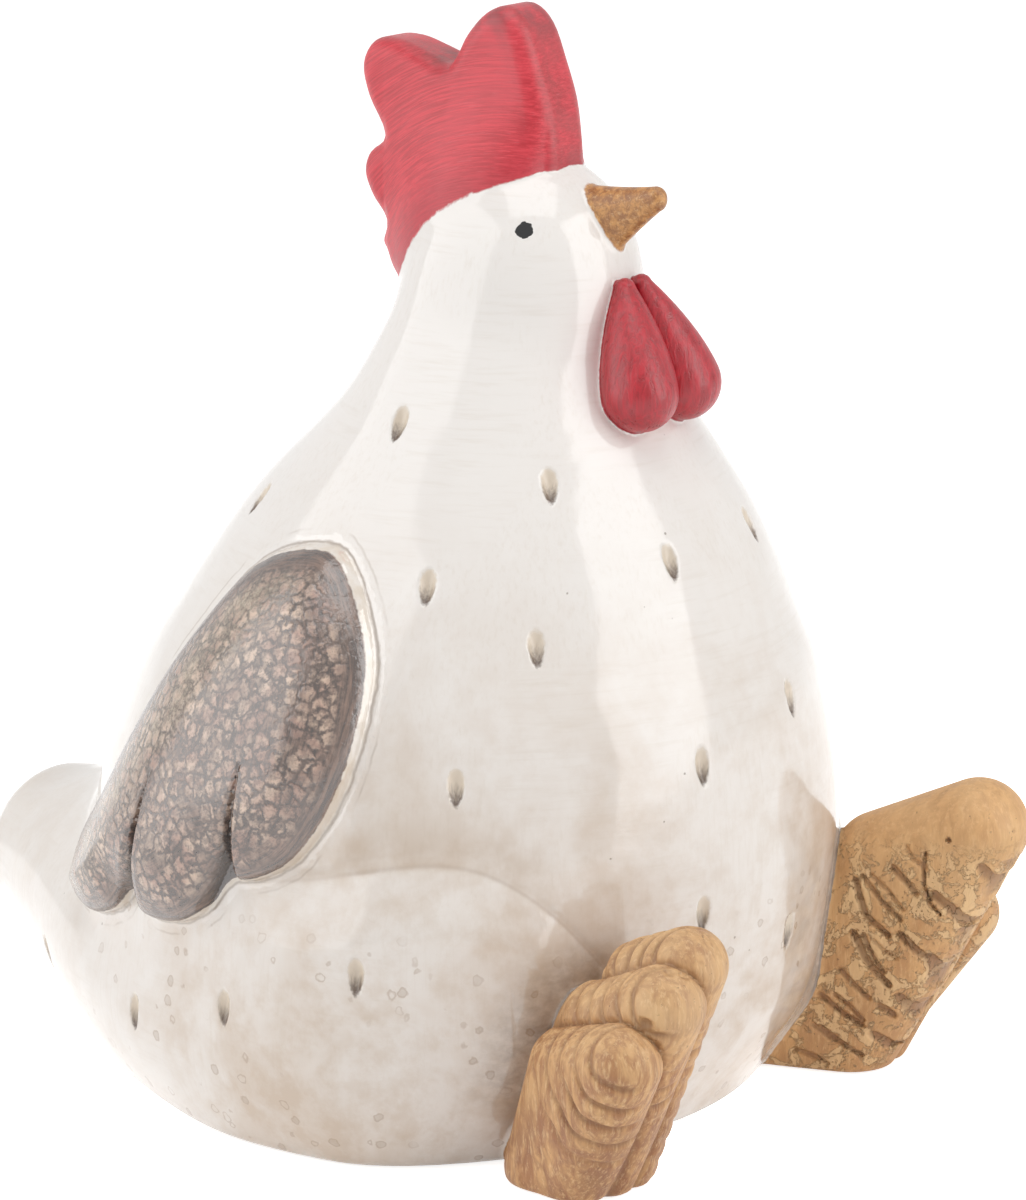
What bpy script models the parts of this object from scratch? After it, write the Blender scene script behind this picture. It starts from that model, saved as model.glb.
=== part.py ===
"""Sitting hen figurine: a hollow glazed ceramic casting in one piece.

The hen faces -Y and sits on the plane z = 0. Its right side is -X and its tail points to +Y.
Sizes below are in millimetres, and MM turns them into Blender's metres.
"""

import math

import bmesh
import bpy
import numpy as np
from mathutils import Matrix, Vector
from mathutils.bvhtree import BVHTree

MM = 0.001
NAME = "hen"

# Casting
WALL = 5.0
VENT_RADIUS = 8.0
VENT_Y = 26.0

# Body, by height: half width, reach to the front, reach to the back
BODY = (
    (-12, 66, 56, 70),
    (4, 79, 63.5, 80),
    (19, 87, 74, 86),
    (40, 91, 80, 95),
    (58, 91, 82.5, 103),
    (71, 90.5, 83, 106),
    (84, 88, 82, 104),
    (97, 85, 80.5, 98),
    (110, 81, 78, 91),
    (122, 76, 73.5, 82.5),
    (135, 69.5, 69, 73.3),
    (148, 62, 63.5, 63.5),
    (161, 53.5, 56, 51),
    (174, 45, 48, 37.5),
    (187, 37.5, 41, 28.3),
    (200, 31, 36.5, 22.5),
    (212, 27.5, 33, 20),
    (228, 25, 30, 17),
)
CROWN_START = 190.0
CROWN_RISE = 42.0

# Rump and tail, by distance to the back: half width, middle height, rise above it, drop below it
RUMP = (
    (-56, 64, 22, 46, 62),
    (-40, 78, 22, 48, 62),
    (-20, 87, 22, 50, 59),
    (0, 90.5, 22, 50, 58),
    (20, 90.5, 22, 48, 58),
    (40, 86.5, 23, 45, 53),
    (60, 79.5, 25, 41, 49.5),
    (80, 70, 28, 37, 48.5),
    (100, 58, 31, 32, 42),
    (120, 44.5, 33.5, 27, 31),
    (135, 34.5, 34, 23.7, 23.5),
    (150, 26, 34, 20.2, 18.5),
    (165, 21, 32.5, 16.5, 16),
)
TAIL_START = 147.0
TAIL_LENGTH = 17.5
CHEST_START = -10.0
CHEST_LENGTH = 50.0

HEAD_CENTRE = (0, -8.3, 205)
HEAD_RADII = (27, 29, 31.5)
THIGH_CENTRE = (56, -14, 40)
THIGH_RADII = (35.5, 56, 58)

# Beak and wattles, as rods: start, end, start radius, end radius
BEAK_ROD = ((0, -28, 221.5), (0, -46.5, 227), 9.5, 2.6)
WATTLE_ROD = ((3.5, -40, 206), (10.5, -47.3, 182), 3.5, 9.5)

# Comb outline in the middle plane, as y and z, clockwise from the foot of its front
COMB_OUTLINE = (
    (-20.5, 231),
    (-19.8, 246),
    (-16, 258),
    (-12, 267.5),
    (-6.5, 271.8),
    (-0.2, 270),
    (5.2, 264.5),
    (11.1, 256.5),
    (19, 259),
    (27, 261.3),
    (34, 260.6),
    (37.6, 254.6),
    (35.8, 246.4),
    (31, 237.3),
    (35.8, 232.6),
    (37.2, 227.4),
    (34.8, 221.6),
    (30.6, 216),
    (31.6, 210.6),
    (29.8, 205.4),
    (27, 200),
    (18, 196),
    (6, 205),
    (-12, 216),
)
COMB_THICKNESS = 20.0
COMB_EDGE = 6.0

# Wing outline seen from the side, as y and z, from the top and round over the front edge
WING_OUTLINE = (
    (3, 149),
    (-9, 145),
    (-21, 128),
    (-24, 112),
    (-20, 93),
    (-9, 77),
    (4, 71),
    (12.4, 70),
    (18, 62),
    (30, 56.5),
    (44, 54.5),
    (51, 58),
    (60, 51.5),
    (74, 46.8),
    (87, 49.5),
    (85, 61),
    (70, 77),
    (57, 99),
    (43, 121),
    (25, 141),
)
WING_TERRACES = ((0, 3.4), (2.2, 5.6), (5.0, 6.8))
# Grooves between the three feathers: points as y and z, groove radius at each
FEATHER_GROOVES = (
    ((11.2, 102, 1.0), (12, 84, 3.4), (12.6, 64, 6.0)),
    ((40, 92, 1.0), (45, 73, 3.0), (51, 52, 5.6)),
)

# Toes from the inner to the outer: front and back of the root, front and back of the tip,
# root radius, tip radius, creases round the toe
RIGHT_TOES = (
    ((52, -69, -2), (47, -52, 2), (58, -97, 60), (56, -83, 54), 10.5, 9.3, 9),
    ((58, -68, -2), (54, -50, 2), (68, -97, 51), (64, -78, 44), 11, 9.8, 7),
    ((61, -63, -2), (62, -50, 2), (78, -92, 38), (73, -76, 33), 10.5, 9.4, 5),
)
LEFT_TOES = (
    ((54, -68, -2), (48, -52, 4), (59, -107, 67), (54, -84, 60), 11.5, 11.3, 10),
    ((60, -68, -2), (56, -50, 2), (66, -97, 52), (62, -80, 46), 11, 9.6, 7),
    ((66, -62, -2), (64, -46, 2), (76, -91, 38), (71, -75, 33), 10.5, 9.2, 5),
)
CREASE_DEPTH = 1.7
CREASE_HALF_WIDTH = 1.5
# How deep the creases run on the sole, as a share of their depth on the upper side
RIGHT_SOLE_CREASES = 0.0
LEFT_SOLE_CREASES = 0.8

# Pressed dents: height and bearing in degrees, 0 in front and 90 on the right side
DENTS = (
    (175, 87),
    (151, 132),
    (163, 41),
    (144, 15),
    (146, -19),
    (141, 69),
    (128, 47),
    (106, -10),
    (97, 17),
    (97, 61),
    (74, 160),
    (23, 154),
    (26, 122),
    (37, 99),
    (52, 75),
    (61, 18),
    (48, -7),
)
DENT_MIRRORED_FROM = 30
DENT_HALF_LENGTH = 4.4
DENT_HALF_WIDTH = 2.6
DENT_DEPTH = 1.4

EYE_PLACE = (19.8, -21.8, 220.7)
EYE_RADIUS = 2.1
EYE_RISE = 0.7

# Mesh fineness
BASE_VOXEL = 2.5
BASE_ROUNDING_STEPS = 34
VOXEL = 1.25
ROUNDING_STEPS = 4
SKIN_TRIANGLES = 9300
# Rings along a loft and points round each
FINE = (50, 40)
COARSE = (15, 20)

# Paint: colour, roughness
PAINT = {
    "glaze": ((0.78, 0.73, 0.66), 0.15),
    "red": ((0.55, 0.05, 0.07), 0.45),
    "ochre": ((0.45, 0.24, 0.09), 0.6),
    "wing_brown": ((0.11, 0.08, 0.06), 0.2),
    "black": ((0.01, 0.01, 0.01), 0.1),
}


def collection(name):
    """A new collection in the scene."""
    made = bpy.data.collections.new(name)
    bpy.context.scene.collection.children.link(made)
    return made


def material(name):
    """The paint of this name."""
    colour, roughness = PAINT[name]
    made = bpy.data.materials.new(name)
    made.use_nodes = True
    shader = made.node_tree.nodes["Principled BSDF"]
    shader.inputs["Base Color"].default_value = (*colour, 1.0)
    shader.inputs["Roughness"].default_value = roughness
    shader.inputs["Metallic"].default_value = 0.0
    return made


def helper(name, mesh):
    """An object that only cuts or shapes the hen."""
    made = bpy.data.objects.new(name, mesh)
    made.hide_render = True
    made.display_type = "WIRE"
    helpers.objects.link(made)
    return made


def mesh_of(name, bm):
    """The finished mesh of a bmesh, with its faces pointing out."""
    bmesh.ops.recalc_face_normals(bm, faces=bm.faces)
    mesh = bpy.data.meshes.new(name)
    bm.to_mesh(mesh)
    bm.free()
    return mesh


def evaluated(obj):
    """The mesh of an object with its modifiers, in world space."""
    bpy.context.view_layer.update()
    result = obj.evaluated_get(bpy.context.evaluated_depsgraph_get())
    mesh = bpy.data.meshes.new_from_object(result)
    mesh.transform(obj.matrix_world)
    return mesh


def resampled(stations, count):
    """Rows at even steps between the stations, on a smooth curve through them."""
    rows = np.array(stations, dtype=float)
    at = rows[:, 0]
    slopes = np.gradient(rows, at, axis=0)
    places = np.linspace(at[0], at[-1], count)
    left = np.clip(np.searchsorted(at, places) - 1, 0, len(at) - 2)
    step = (at[left + 1] - at[left])[:, None]
    t = (places - at[left])[:, None] / step
    start = (1 + 2 * t) * (1 - t) ** 2 * rows[left] + t * (1 - t) ** 2 * step * slopes[left]
    end = t * t * (3 - 2 * t) * rows[left + 1] + t * t * (t - 1) * step * slopes[left + 1]
    return start + end


def loft(name, rings):
    """A closed mesh through rings of points, with a flat cap at each end."""
    bm = bmesh.new()
    loops = [[bm.verts.new(Vector(point) * MM) for point in ring] for ring in rings]
    for lower, upper in zip(loops, loops[1:]):
        for i in range(len(lower)):
            j = (i + 1) % len(lower)
            bm.faces.new((lower[i], lower[j], upper[j], upper[i]))
    bm.faces.new(loops[0])
    bm.faces.new(loops[-1])
    return mesh_of(name, bm)


def body_rings(grow, lowest, fineness=FINE):
    """The body's level rings, all grown outwards by this much, from the lowest height up."""
    count, sides = fineness
    rings = []
    for height, width, front, back in resampled(BODY, count):
        lift = max(0.0, (height - CROWN_START) / CROWN_RISE)
        if height < lowest or lift >= 0.995:
            continue
        narrow = math.sqrt(1 - lift * lift)
        if width * narrow + grow < 3.0:
            continue
        ring = []
        for i in range(sides):
            turn = math.tau * i / sides
            reach = back if math.sin(turn) > 0 else front
            x = (width * narrow + grow) * math.cos(turn)
            y = (reach * narrow + grow) * math.sin(turn)
            ring.append((x, y, height))
        rings.append(ring)
    if lowest > BODY[0][0]:
        rings.insert(0, [(x, y, lowest) for x, y, _ in rings[0]])
    return rings


def rump_rings(grow, lowest, fineness=FINE):
    """The upright rings of the rump and tail, grown outwards, with nothing below the lowest height."""
    count, sides = fineness
    rings = []
    for place, width, middle, rise, drop in resampled(RUMP, count):
        past = max(0.0, (place - TAIL_START) / TAIL_LENGTH)
        before = max(0.0, (CHEST_START - place) / CHEST_LENGTH)
        left = 1 - past * past - before * before
        if left < 0.01:
            continue
        narrow = math.sqrt(left)
        if min(width, rise, drop) * narrow + grow < 2.0:
            continue
        ring = []
        for i in range(sides):
            turn = math.tau * i / sides
            reach = rise if math.sin(turn) > 0 else drop
            x = (width * narrow + grow) * math.cos(turn)
            z = middle + (reach * narrow + grow) * math.sin(turn)
            ring.append((x, place, max(z, lowest)))
        rings.append(ring)
    return rings


def ball(name, centre, radii):
    """An ellipsoid."""
    bm = bmesh.new()
    bmesh.ops.create_uvsphere(bm, u_segments=32, v_segments=20, radius=MM)
    bmesh.ops.scale(bm, vec=radii, verts=bm.verts)
    bmesh.ops.translate(bm, vec=Vector(centre) * MM, verts=bm.verts)
    return mesh_of(name, bm)


def on_both_sides(make, name, *sizes):
    """A shape made for +X, and its mirror image."""
    left = make(name, *sizes)
    right = left.copy()
    right.transform(Matrix.Scale(-1, 4, (1, 0, 0)))
    right.flip_normals()
    return [left, right]


def rod(name, start, end, start_radius, end_radius):
    """A turned rod with round ends."""
    start, end = Vector(start) * MM, Vector(end) * MM
    length = (end - start).length
    low, high = start_radius * MM, end_radius * MM
    quarter = np.linspace(0, math.pi / 2, 7)
    outline = [(low * math.sin(t), -low * math.cos(t)) for t in quarter]
    outline += [(high * math.cos(t), length + high * math.sin(t)) for t in quarter]
    bm = bmesh.new()
    previous = None
    for radius, height in reversed(outline):
        vert = bm.verts.new((max(radius, 0.0), 0, height))
        if previous:
            bm.edges.new((previous, vert))
        previous = vert
    bmesh.ops.spin(
        bm,
        geom=bm.verts[:] + bm.edges[:],
        axis=(0, 0, 1),
        cent=(0, 0, 0),
        angle=math.tau,
        steps=24,
        use_merge=True,
    )
    bmesh.ops.remove_doubles(bm, verts=bm.verts, dist=0.00001)
    turn = (end - start).to_track_quat("Z", "Y").to_matrix().to_4x4()
    bmesh.ops.transform(bm, matrix=Matrix.Translation(start) @ turn, verts=bm.verts)
    return mesh_of(name, bm)


def toe_stations(creases, length, tip_radius):
    """Steps along a toe: place from 0 at the root to 1 at the tip, share of the radius, crease depth."""
    stations = [(0.0, 1.0, 0.0)]
    for i in range(creases):
        middle = (i + 0.7) / (creases + 0.4)
        half = CREASE_HALF_WIDTH / length
        stations += [(middle - half, 1.0, 0.0), (middle, 1.0, CREASE_DEPTH), (middle + half, 1.0, 0.0)]
    for turn in np.linspace(0, 1.35, 6):
        stations.append((1 + tip_radius * math.sin(turn) / length, math.cos(turn), 0.0))
    return stations


def toe(name, front_root, back_root, front_tip, back_tip, root_radius, tip_radius, creases, on_sole):
    """A creased toe that is deep from front to back, with a round tip."""
    front_root, back_root, front_tip, back_tip = map(Vector, (front_root, back_root, front_tip, back_tip))
    axis = front_tip - front_root
    upwards = axis.normalized()
    rings = []
    for place, share, depth in toe_stations(creases, axis.length, tip_radius):
        front = front_root.lerp(front_tip, place)
        back = back_root.lerp(back_tip, place)
        apart = back - front
        backwards = (apart - upwards * apart.dot(upwards)).normalized()
        side = upwards.cross(backwards)
        radius = root_radius + (tip_radius - root_radius) * min(place, 1.0)
        ring = []
        for turn in np.linspace(-math.pi / 2, math.pi / 2, 11):
            reach = radius * share - depth * on_sole
            ring.append(front + reach * (side * math.sin(turn) - backwards * math.cos(turn)))
        for turn in np.linspace(math.pi / 2, -math.pi / 2, 11):
            reach = radius * share - depth
            ring.append(back + reach * (side * math.sin(turn) + backwards * math.cos(turn)))
        rings.append(ring)
    return loft(name, rings)


def plate(name, outline, half_thickness, edge=0.0, inset=0.0, smooth=True):
    """A flat plate across X from an outline of y and z, with its edge rounded or moved inwards."""
    curve = bpy.data.curves.new(name, "CURVE")
    curve.dimensions = "2D"
    curve.fill_mode = "BOTH"
    curve.extrude = (half_thickness - edge) * MM
    curve.bevel_depth = edge * MM
    curve.bevel_resolution = 2
    curve.offset = -(edge + inset) * MM
    curve.resolution_u = 3
    spline = curve.splines.new("BEZIER")
    spline.bezier_points.add(len(outline) - 1)
    for point, (y, z) in zip(spline.bezier_points, outline):
        point.co = (y * MM, z * MM, 0)
        point.handle_left_type = "AUTO" if smooth else "VECTOR"
        point.handle_right_type = point.handle_left_type
    spline.use_cyclic_u = True
    obj = bpy.data.objects.new(name, curve)
    helpers.objects.link(obj)
    obj.matrix_world = Matrix(((0, 0, 1, 0), (1, 0, 0, 0), (0, 1, 0, 0), (0, 0, 0, 1)))
    mesh = evaluated(obj)
    bpy.data.objects.remove(obj)
    bpy.data.curves.remove(curve)
    bm = bmesh.new()
    bm.from_mesh(mesh)
    bpy.data.meshes.remove(mesh)
    bmesh.ops.remove_doubles(bm, verts=bm.verts, dist=0.00001)
    return mesh_of(name, bm)


def with_boolean(obj, operation, other):
    """Adds an exact Boolean with another object."""
    step = obj.modifiers.new(f"{operation.lower()} {other.name}", "BOOLEAN")
    step.operation = operation
    step.solver = "EXACT"
    step.object = other


def joined(name, meshes):
    """One mesh that holds all of these."""
    bm = bmesh.new()
    for mesh in meshes:
        bm.from_mesh(mesh)
    return mesh_of(name, bm)


def wings(grooves):
    """Both wings: the body's shape grown outwards in terraces, inside the wing's outline."""
    terraces = []
    for step, (inset, rise) in enumerate(WING_TERRACES):
        slab = helper(f"wing_slab_{step}", plate("slab", WING_OUTLINE, 125.0, inset=inset))
        for part, rings in (("body", body_rings(rise, -100)), ("rump", rump_rings(rise, -20))):
            grown = helper(f"wing_{part}_{step}", loft("grown", rings))
            with_boolean(grown, "INTERSECT", slab)
            for groove in grooves:
                with_boolean(grown, "DIFFERENCE", groove)
            terraces.append(evaluated(grown))
    return terraces


def surface_reach(place, height):
    """How far the body or the rump reaches out sideways at this place."""
    body = [row for row in resampled(BODY, 200) if abs(row[0] - height) < 1.0][0]
    reach = body[3] if place > 0 else body[2]
    inside = max(0.0, 1 - (place / reach) ** 2)
    across = body[1] * math.sqrt(inside)
    rump = [row for row in resampled(RUMP, 200) if abs(row[0] - place) < 1.0][0]
    tall = rump[3] if height > rump[2] else rump[4]
    inside = max(0.0, 1 - ((height - rump[2]) / tall) ** 2)
    return max(across, rump[1] * math.sqrt(inside))


def groove_cutters():
    """Tapering cutters along the grooves between the feathers, on both sides."""
    made = []
    top_rise = WING_TERRACES[-1][1]
    for groove in FEATHER_GROOVES:
        for (y0, z0, r0), (y1, z1, r1) in zip(groove, groove[1:]):
            start = (surface_reach(y0, z0) + top_rise + 0.5, y0, z0)
            end = (surface_reach(y1, z1) + top_rise + 0.5, y1, z1)
            made += on_both_sides(rod, "groove", start, end, r0, r1)
    return [helper(f"groove_{i}", mesh) for i, mesh in enumerate(made)]


def feet():
    """The toes of both feet."""
    right = [toe("right toe", *sizes, RIGHT_SOLE_CREASES) for sizes in RIGHT_TOES]
    for mesh in right:
        mesh.transform(Matrix.Scale(-1, 4, (1, 0, 0)))
        mesh.flip_normals()
    left = [toe("left toe", *sizes, LEFT_SOLE_CREASES) for sizes in LEFT_TOES]
    return right + left


def tree(meshes):
    """A search tree over the faces of these meshes."""
    bm = bmesh.new()
    for mesh in meshes:
        bm.from_mesh(mesh)
    found = BVHTree.FromBMesh(bm)
    bm.free()
    return found


def dent_cutters(skin):
    """The pointed ovals that press the feather marks into the body."""
    places = [(height, bearing) for height, bearing in DENTS]
    places += [(height, -bearing) for height, bearing in DENTS if bearing > DENT_MIRRORED_FROM]
    made = []
    for height, bearing in places:
        turn = math.radians(bearing)
        out = Vector((-math.sin(turn), -math.cos(turn), 0))
        start = Vector((0, 0, height * MM))
        point, normal, _, _ = skin.ray_cast(start + out, -out)
        down = (Vector((0, 0, -1)) - normal * -normal.z).normalized()
        side = normal.cross(down)
        bm = bmesh.new()
        bmesh.ops.create_uvsphere(bm, u_segments=8, v_segments=6, radius=MM)
        bmesh.ops.scale(bm, vec=(DENT_HALF_WIDTH, DENT_HALF_LENGTH, DENT_DEPTH), verts=bm.verts)
        turned = Matrix((side, down, normal)).transposed().to_4x4()
        bmesh.ops.transform(bm, matrix=Matrix.Translation(point) @ turned, verts=bm.verts)
        made.append(mesh_of("dent", bm))
    return made


def eyes(skin):
    """A low round blob of paint on each side of the head."""
    made = []
    for sign in (-1, 1):
        x, y, z = EYE_PLACE
        point, normal, _, _ = skin.find_nearest(Vector((sign * x, y, z)) * MM)
        bm = bmesh.new()
        bmesh.ops.create_uvsphere(bm, u_segments=10, v_segments=6, radius=MM)
        bmesh.ops.scale(bm, vec=(EYE_RADIUS, EYE_RADIUS, EYE_RISE), verts=bm.verts)
        turned = normal.to_track_quat("Z", "Y").to_matrix().to_4x4()
        bmesh.ops.transform(bm, matrix=Matrix.Translation(point) @ turned, verts=bm.verts)
        made.append(mesh_of("eye", bm))
    return made


def base_mesh(parts):
    """The trunk: the parts run together with wide soft fillets."""
    base = helper("base", joined("base", parts))
    melt = base.modifiers.new("melt", "REMESH")
    melt.mode = "VOXEL"
    melt.voxel_size = BASE_VOXEL * MM
    rounding = base.modifiers.new("rounding", "SMOOTH")
    rounding.factor = 0.5
    rounding.iterations = BASE_ROUNDING_STEPS
    return evaluated(base)


def skin_mesh(parts):
    """The hen's outside: the parts run together, rounded off and thinned out."""
    skin = helper("skin", joined("skin", parts))
    melt = skin.modifiers.new("melt", "REMESH")
    melt.mode = "VOXEL"
    melt.voxel_size = VOXEL * MM
    rounding = skin.modifiers.new("rounding", "SMOOTH")
    rounding.factor = 0.5
    rounding.iterations = ROUNDING_STEPS
    full = evaluated(skin)
    full.calc_loop_triangles()
    thin = skin.modifiers.new("thin", "DECIMATE")
    thin.ratio = SKIN_TRIANGLES / len(full.loop_triangles)
    thin.use_collapse_triangulate = True
    return evaluated(skin)


def box(name, low, high):
    """A block between two corners."""
    low, high = Vector(low) * MM, Vector(high) * MM
    bm = bmesh.new()
    bmesh.ops.create_cube(bm, size=1.0)
    bmesh.ops.scale(bm, vec=high - low, verts=bm.verts)
    bmesh.ops.translate(bm, vec=(low + high) / 2, verts=bm.verts)
    return mesh_of(name, bm)


def vent():
    """The round hole in the underside that the casting slip was poured out of."""
    bm = bmesh.new()
    bmesh.ops.create_cone(
        bm,
        cap_ends=True,
        segments=20,
        radius1=VENT_RADIUS * MM,
        radius2=VENT_RADIUS * MM,
        depth=4 * WALL * MM,
    )
    bmesh.ops.translate(bm, vec=(0, VENT_Y * MM, 0), verts=bm.verts)
    return mesh_of("vent", bm)


def paint(obj, areas):
    """Gives each face the paint of the part that it lies on."""
    mesh = obj.data
    mesh.materials.clear()
    trees = []
    for name, meshes, reach in areas:
        mesh.materials.append(material(name))
        trees.append((tree(meshes), reach * MM) if meshes else None)
    for face in mesh.polygons:
        nearest = [
            (found[0].find_nearest(face.center)[3] / found[1], i)
            for i, found in enumerate(trees)
            if found
        ]
        share, i = min(nearest)
        face.material_index = i if share < 1.0 else 0


def build():
    """Makes the whole figurine."""
    body = loft("body", body_rings(0, -100))
    rump = loft("rump", rump_rings(0, -20))
    head = ball("head", HEAD_CENTRE, HEAD_RADII)
    thighs = on_both_sides(ball, "thigh", THIGH_CENTRE, THIGH_RADII)
    beak = rod("beak", *BEAK_ROD)
    wattles = on_both_sides(rod, "wattle", *WATTLE_ROD)
    comb = plate("comb", COMB_OUTLINE, COMB_THICKNESS / 2, edge=COMB_EDGE)
    wing_parts = wings(groove_cutters())
    foot_parts = feet()
    base = base_mesh([body, rump, head])
    parts = [base, beak, comb] + thighs + wattles + wing_parts + foot_parts
    skin = skin_mesh(parts)

    hen = bpy.data.objects.new(NAME, skin)
    pieces.objects.link(hen)
    found = tree([skin])
    with_boolean(hen, "DIFFERENCE", helper("ground", box("ground", (-200, -200, -80), (200, 250, 0))))
    with_boolean(hen, "DIFFERENCE", helper("body_core", loft("body core", body_rings(-WALL, WALL, COARSE))))
    with_boolean(hen, "DIFFERENCE", helper("rump_core", loft("rump core", rump_rings(-WALL, WALL + 0.6, COARSE))))
    with_boolean(hen, "DIFFERENCE", helper("vent", vent()))
    with_boolean(hen, "DIFFERENCE", helper("dents", joined("dents", dent_cutters(found))))
    with_boolean(hen, "UNION", helper("eyes", joined("eyes", eyes(found))))
    hen.data = evaluated(hen)
    hen.modifiers.clear()
    areas = (
        ("glaze", [], 1.0),
        ("red", [comb] + wattles, 1.2),
        ("ochre", [beak] + foot_parts, 1.2),
        ("wing_brown", wing_parts, 1.2),
        ("black", eyes(found), 0.3),
    )
    paint(hen, areas)
    hen.data.shade_smooth()
    hen.data.set_sharp_from_angle(angle=math.radians(50))


for old in list(bpy.data.objects):
    bpy.data.objects.remove(old)
pieces = collection("hen_figurine")
helpers = collection("helpers")
build()
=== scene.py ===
import math

import bmesh
import bpy
import numpy as np
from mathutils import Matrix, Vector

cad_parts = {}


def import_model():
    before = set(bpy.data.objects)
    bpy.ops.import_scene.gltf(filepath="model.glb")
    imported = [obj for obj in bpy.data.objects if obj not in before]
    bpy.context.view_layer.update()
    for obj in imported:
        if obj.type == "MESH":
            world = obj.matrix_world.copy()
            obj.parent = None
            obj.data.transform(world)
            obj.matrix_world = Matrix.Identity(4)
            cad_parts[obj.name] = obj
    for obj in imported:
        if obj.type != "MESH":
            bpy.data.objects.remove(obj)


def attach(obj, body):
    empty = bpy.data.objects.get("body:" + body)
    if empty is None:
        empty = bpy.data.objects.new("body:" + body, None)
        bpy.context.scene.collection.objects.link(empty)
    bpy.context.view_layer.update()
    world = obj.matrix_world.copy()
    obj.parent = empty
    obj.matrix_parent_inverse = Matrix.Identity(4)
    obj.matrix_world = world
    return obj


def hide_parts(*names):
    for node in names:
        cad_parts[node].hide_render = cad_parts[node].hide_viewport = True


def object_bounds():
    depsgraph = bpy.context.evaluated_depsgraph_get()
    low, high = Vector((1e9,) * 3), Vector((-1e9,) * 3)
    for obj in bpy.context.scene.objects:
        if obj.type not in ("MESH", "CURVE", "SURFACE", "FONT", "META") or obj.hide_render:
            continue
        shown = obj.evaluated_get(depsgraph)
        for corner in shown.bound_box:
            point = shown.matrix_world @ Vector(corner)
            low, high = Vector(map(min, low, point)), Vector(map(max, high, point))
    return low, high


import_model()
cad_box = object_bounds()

import openvdb
from mathutils import Vector

# The figurine's glazed skin is shaped here as a distance field in millimetres, in the row's frame:
# the hen faces -Y, its right side is -X and it sits on z = 0. MM turns millimetres into metres.
MM = 0.001
FAR = 60.0

# Body, by height: half width, reach to the front, reach to the back
BODY = (
    (-12, 66, 56, 70),
    (4, 79, 63.5, 80),
    (19, 87, 74, 86),
    (40, 91, 80, 95),
    (58, 91, 82.5, 103),
    (71, 90.5, 83, 106),
    (84, 88, 82, 104),
    (97, 85, 80.5, 98),
    (110, 81, 78, 91),
    (122, 76, 73.5, 82.5),
    (135, 69.5, 69, 73.3),
    (148, 62, 63.5, 63.5),
    (161, 53.5, 56, 51),
    (174, 45, 48, 37.5),
    (187, 37.5, 41, 28.3),
    (200, 31, 36.5, 22.5),
    (212, 27.5, 33, 20),
    (228, 25, 30, 17),
)
CROWN_START = 190.0
CROWN_RISE = 42.0

# Rump and tail, by distance to the back: half width, middle height, rise above it, drop below it
RUMP = (
    (-56, 64, 22, 46, 62),
    (-40, 78, 22, 48, 62),
    (-20, 87, 22, 50, 59),
    (0, 90.5, 22, 50, 58),
    (20, 90.5, 22, 48, 58),
    (40, 86.5, 23, 45, 53),
    (60, 79.5, 25, 41, 49.5),
    (80, 70, 28, 37, 48.5),
    (100, 58, 31, 32, 42),
    (120, 44.5, 33.5, 27, 31),
    (135, 34.5, 34, 22.4, 23.0),
    (150, 25.5, 34, 20.2, 17.5),
    (165, 19.5, 33.0, 17.4, 14.5),
)
TAIL_START = 147.0
TAIL_LENGTH = 13.3
CHEST_START = -10.0
CHEST_LENGTH = 50.0

HEAD_CENTRE = (0, -8.3, 205)
HEAD_RADII = (27, 29, 31.5)
HEAD_FILLET = 8.0
# The fillet between body and rump, and the heights between which it grows
RUMP_FILLET = (12.0, 26.0)
RUMP_FILLET_HEIGHTS = (30.0, 70.0)
LEAST_STEEPNESS = 0.012
# Upper border of the thigh: bearing in degrees from the front, height
THIGH_ARC = (
    (20, 18),
    (30, 40),
    (38, 54),
    (44.5, 65),
    (51, 73),
    (57, 77.5),
    (68, 78.5),
    (79, 75),
    (95, 70),
    (125, 66),
)
THIGH_RISE = 3.8
THIGH_RAMP = 19.0
# Bearings between which the thigh starts and fades, and the heights over which it swells
THIGH_START = (24, 38)
THIGH_FADE = (72, 112)
THIGH_FOOT = (-5, 35)
THIGH_CREASE = 0.3
THIGH_CREASE_HALF = 2.0

# Beak: middle of its root and tip; half width, rise and drop at each
BEAK_ROOT = (0, -27.5, 222.5)
BEAK_TIP = (0, -46.6, 228.3)
BEAK_HALVES = ((5.4, 7.4, 13.2), (2.6, 2.8, 3.4))
BEAK_HOLLOW = 0.4
WATTLE_TOP = (3.5, -40, 206)
WATTLE_DROP = (9.2, -48.6, 182)
WATTLE_RADII = (2.6, 9.3)
WATTLE_SWELL = 1.7
# Where a form's measure rises faster than the distance does, a slack slows it down
WATTLE_SLACK = 0.85

COMB_OUTLINE = (
    (-20.5, 231),
    (-19.8, 246),
    (-16, 258),
    (-12, 267.5),
    (-6.5, 271.8),
    (-0.2, 270),
    (5.2, 264.5),
    (8.2, 259),
    (11.1, 256.5),
    (19, 259),
    (27, 261.3),
    (34, 260.6),
    (37.6, 254.6),
    (35.8, 246.4),
    (31, 237.3),
    (35.8, 232.6),
    (37.2, 227.4),
    (34.8, 221.6),
    (30.6, 216),
    (31.6, 210.6),
    (28.8, 207),
    (24, 204),
    (14, 203),
    (6, 205),
    (-12, 216),
)
COMB_EDGE = 5.0
COMB_HALF = 8.8
COMB_BOX = ((-40, -45, 180), (40, 60, 290))
# The comb's foot on the head, seen from above: middle, half length, half width, how high it flares
COMB_FOOT = (5.0, 26.5, 21.5, 9.0)

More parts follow.
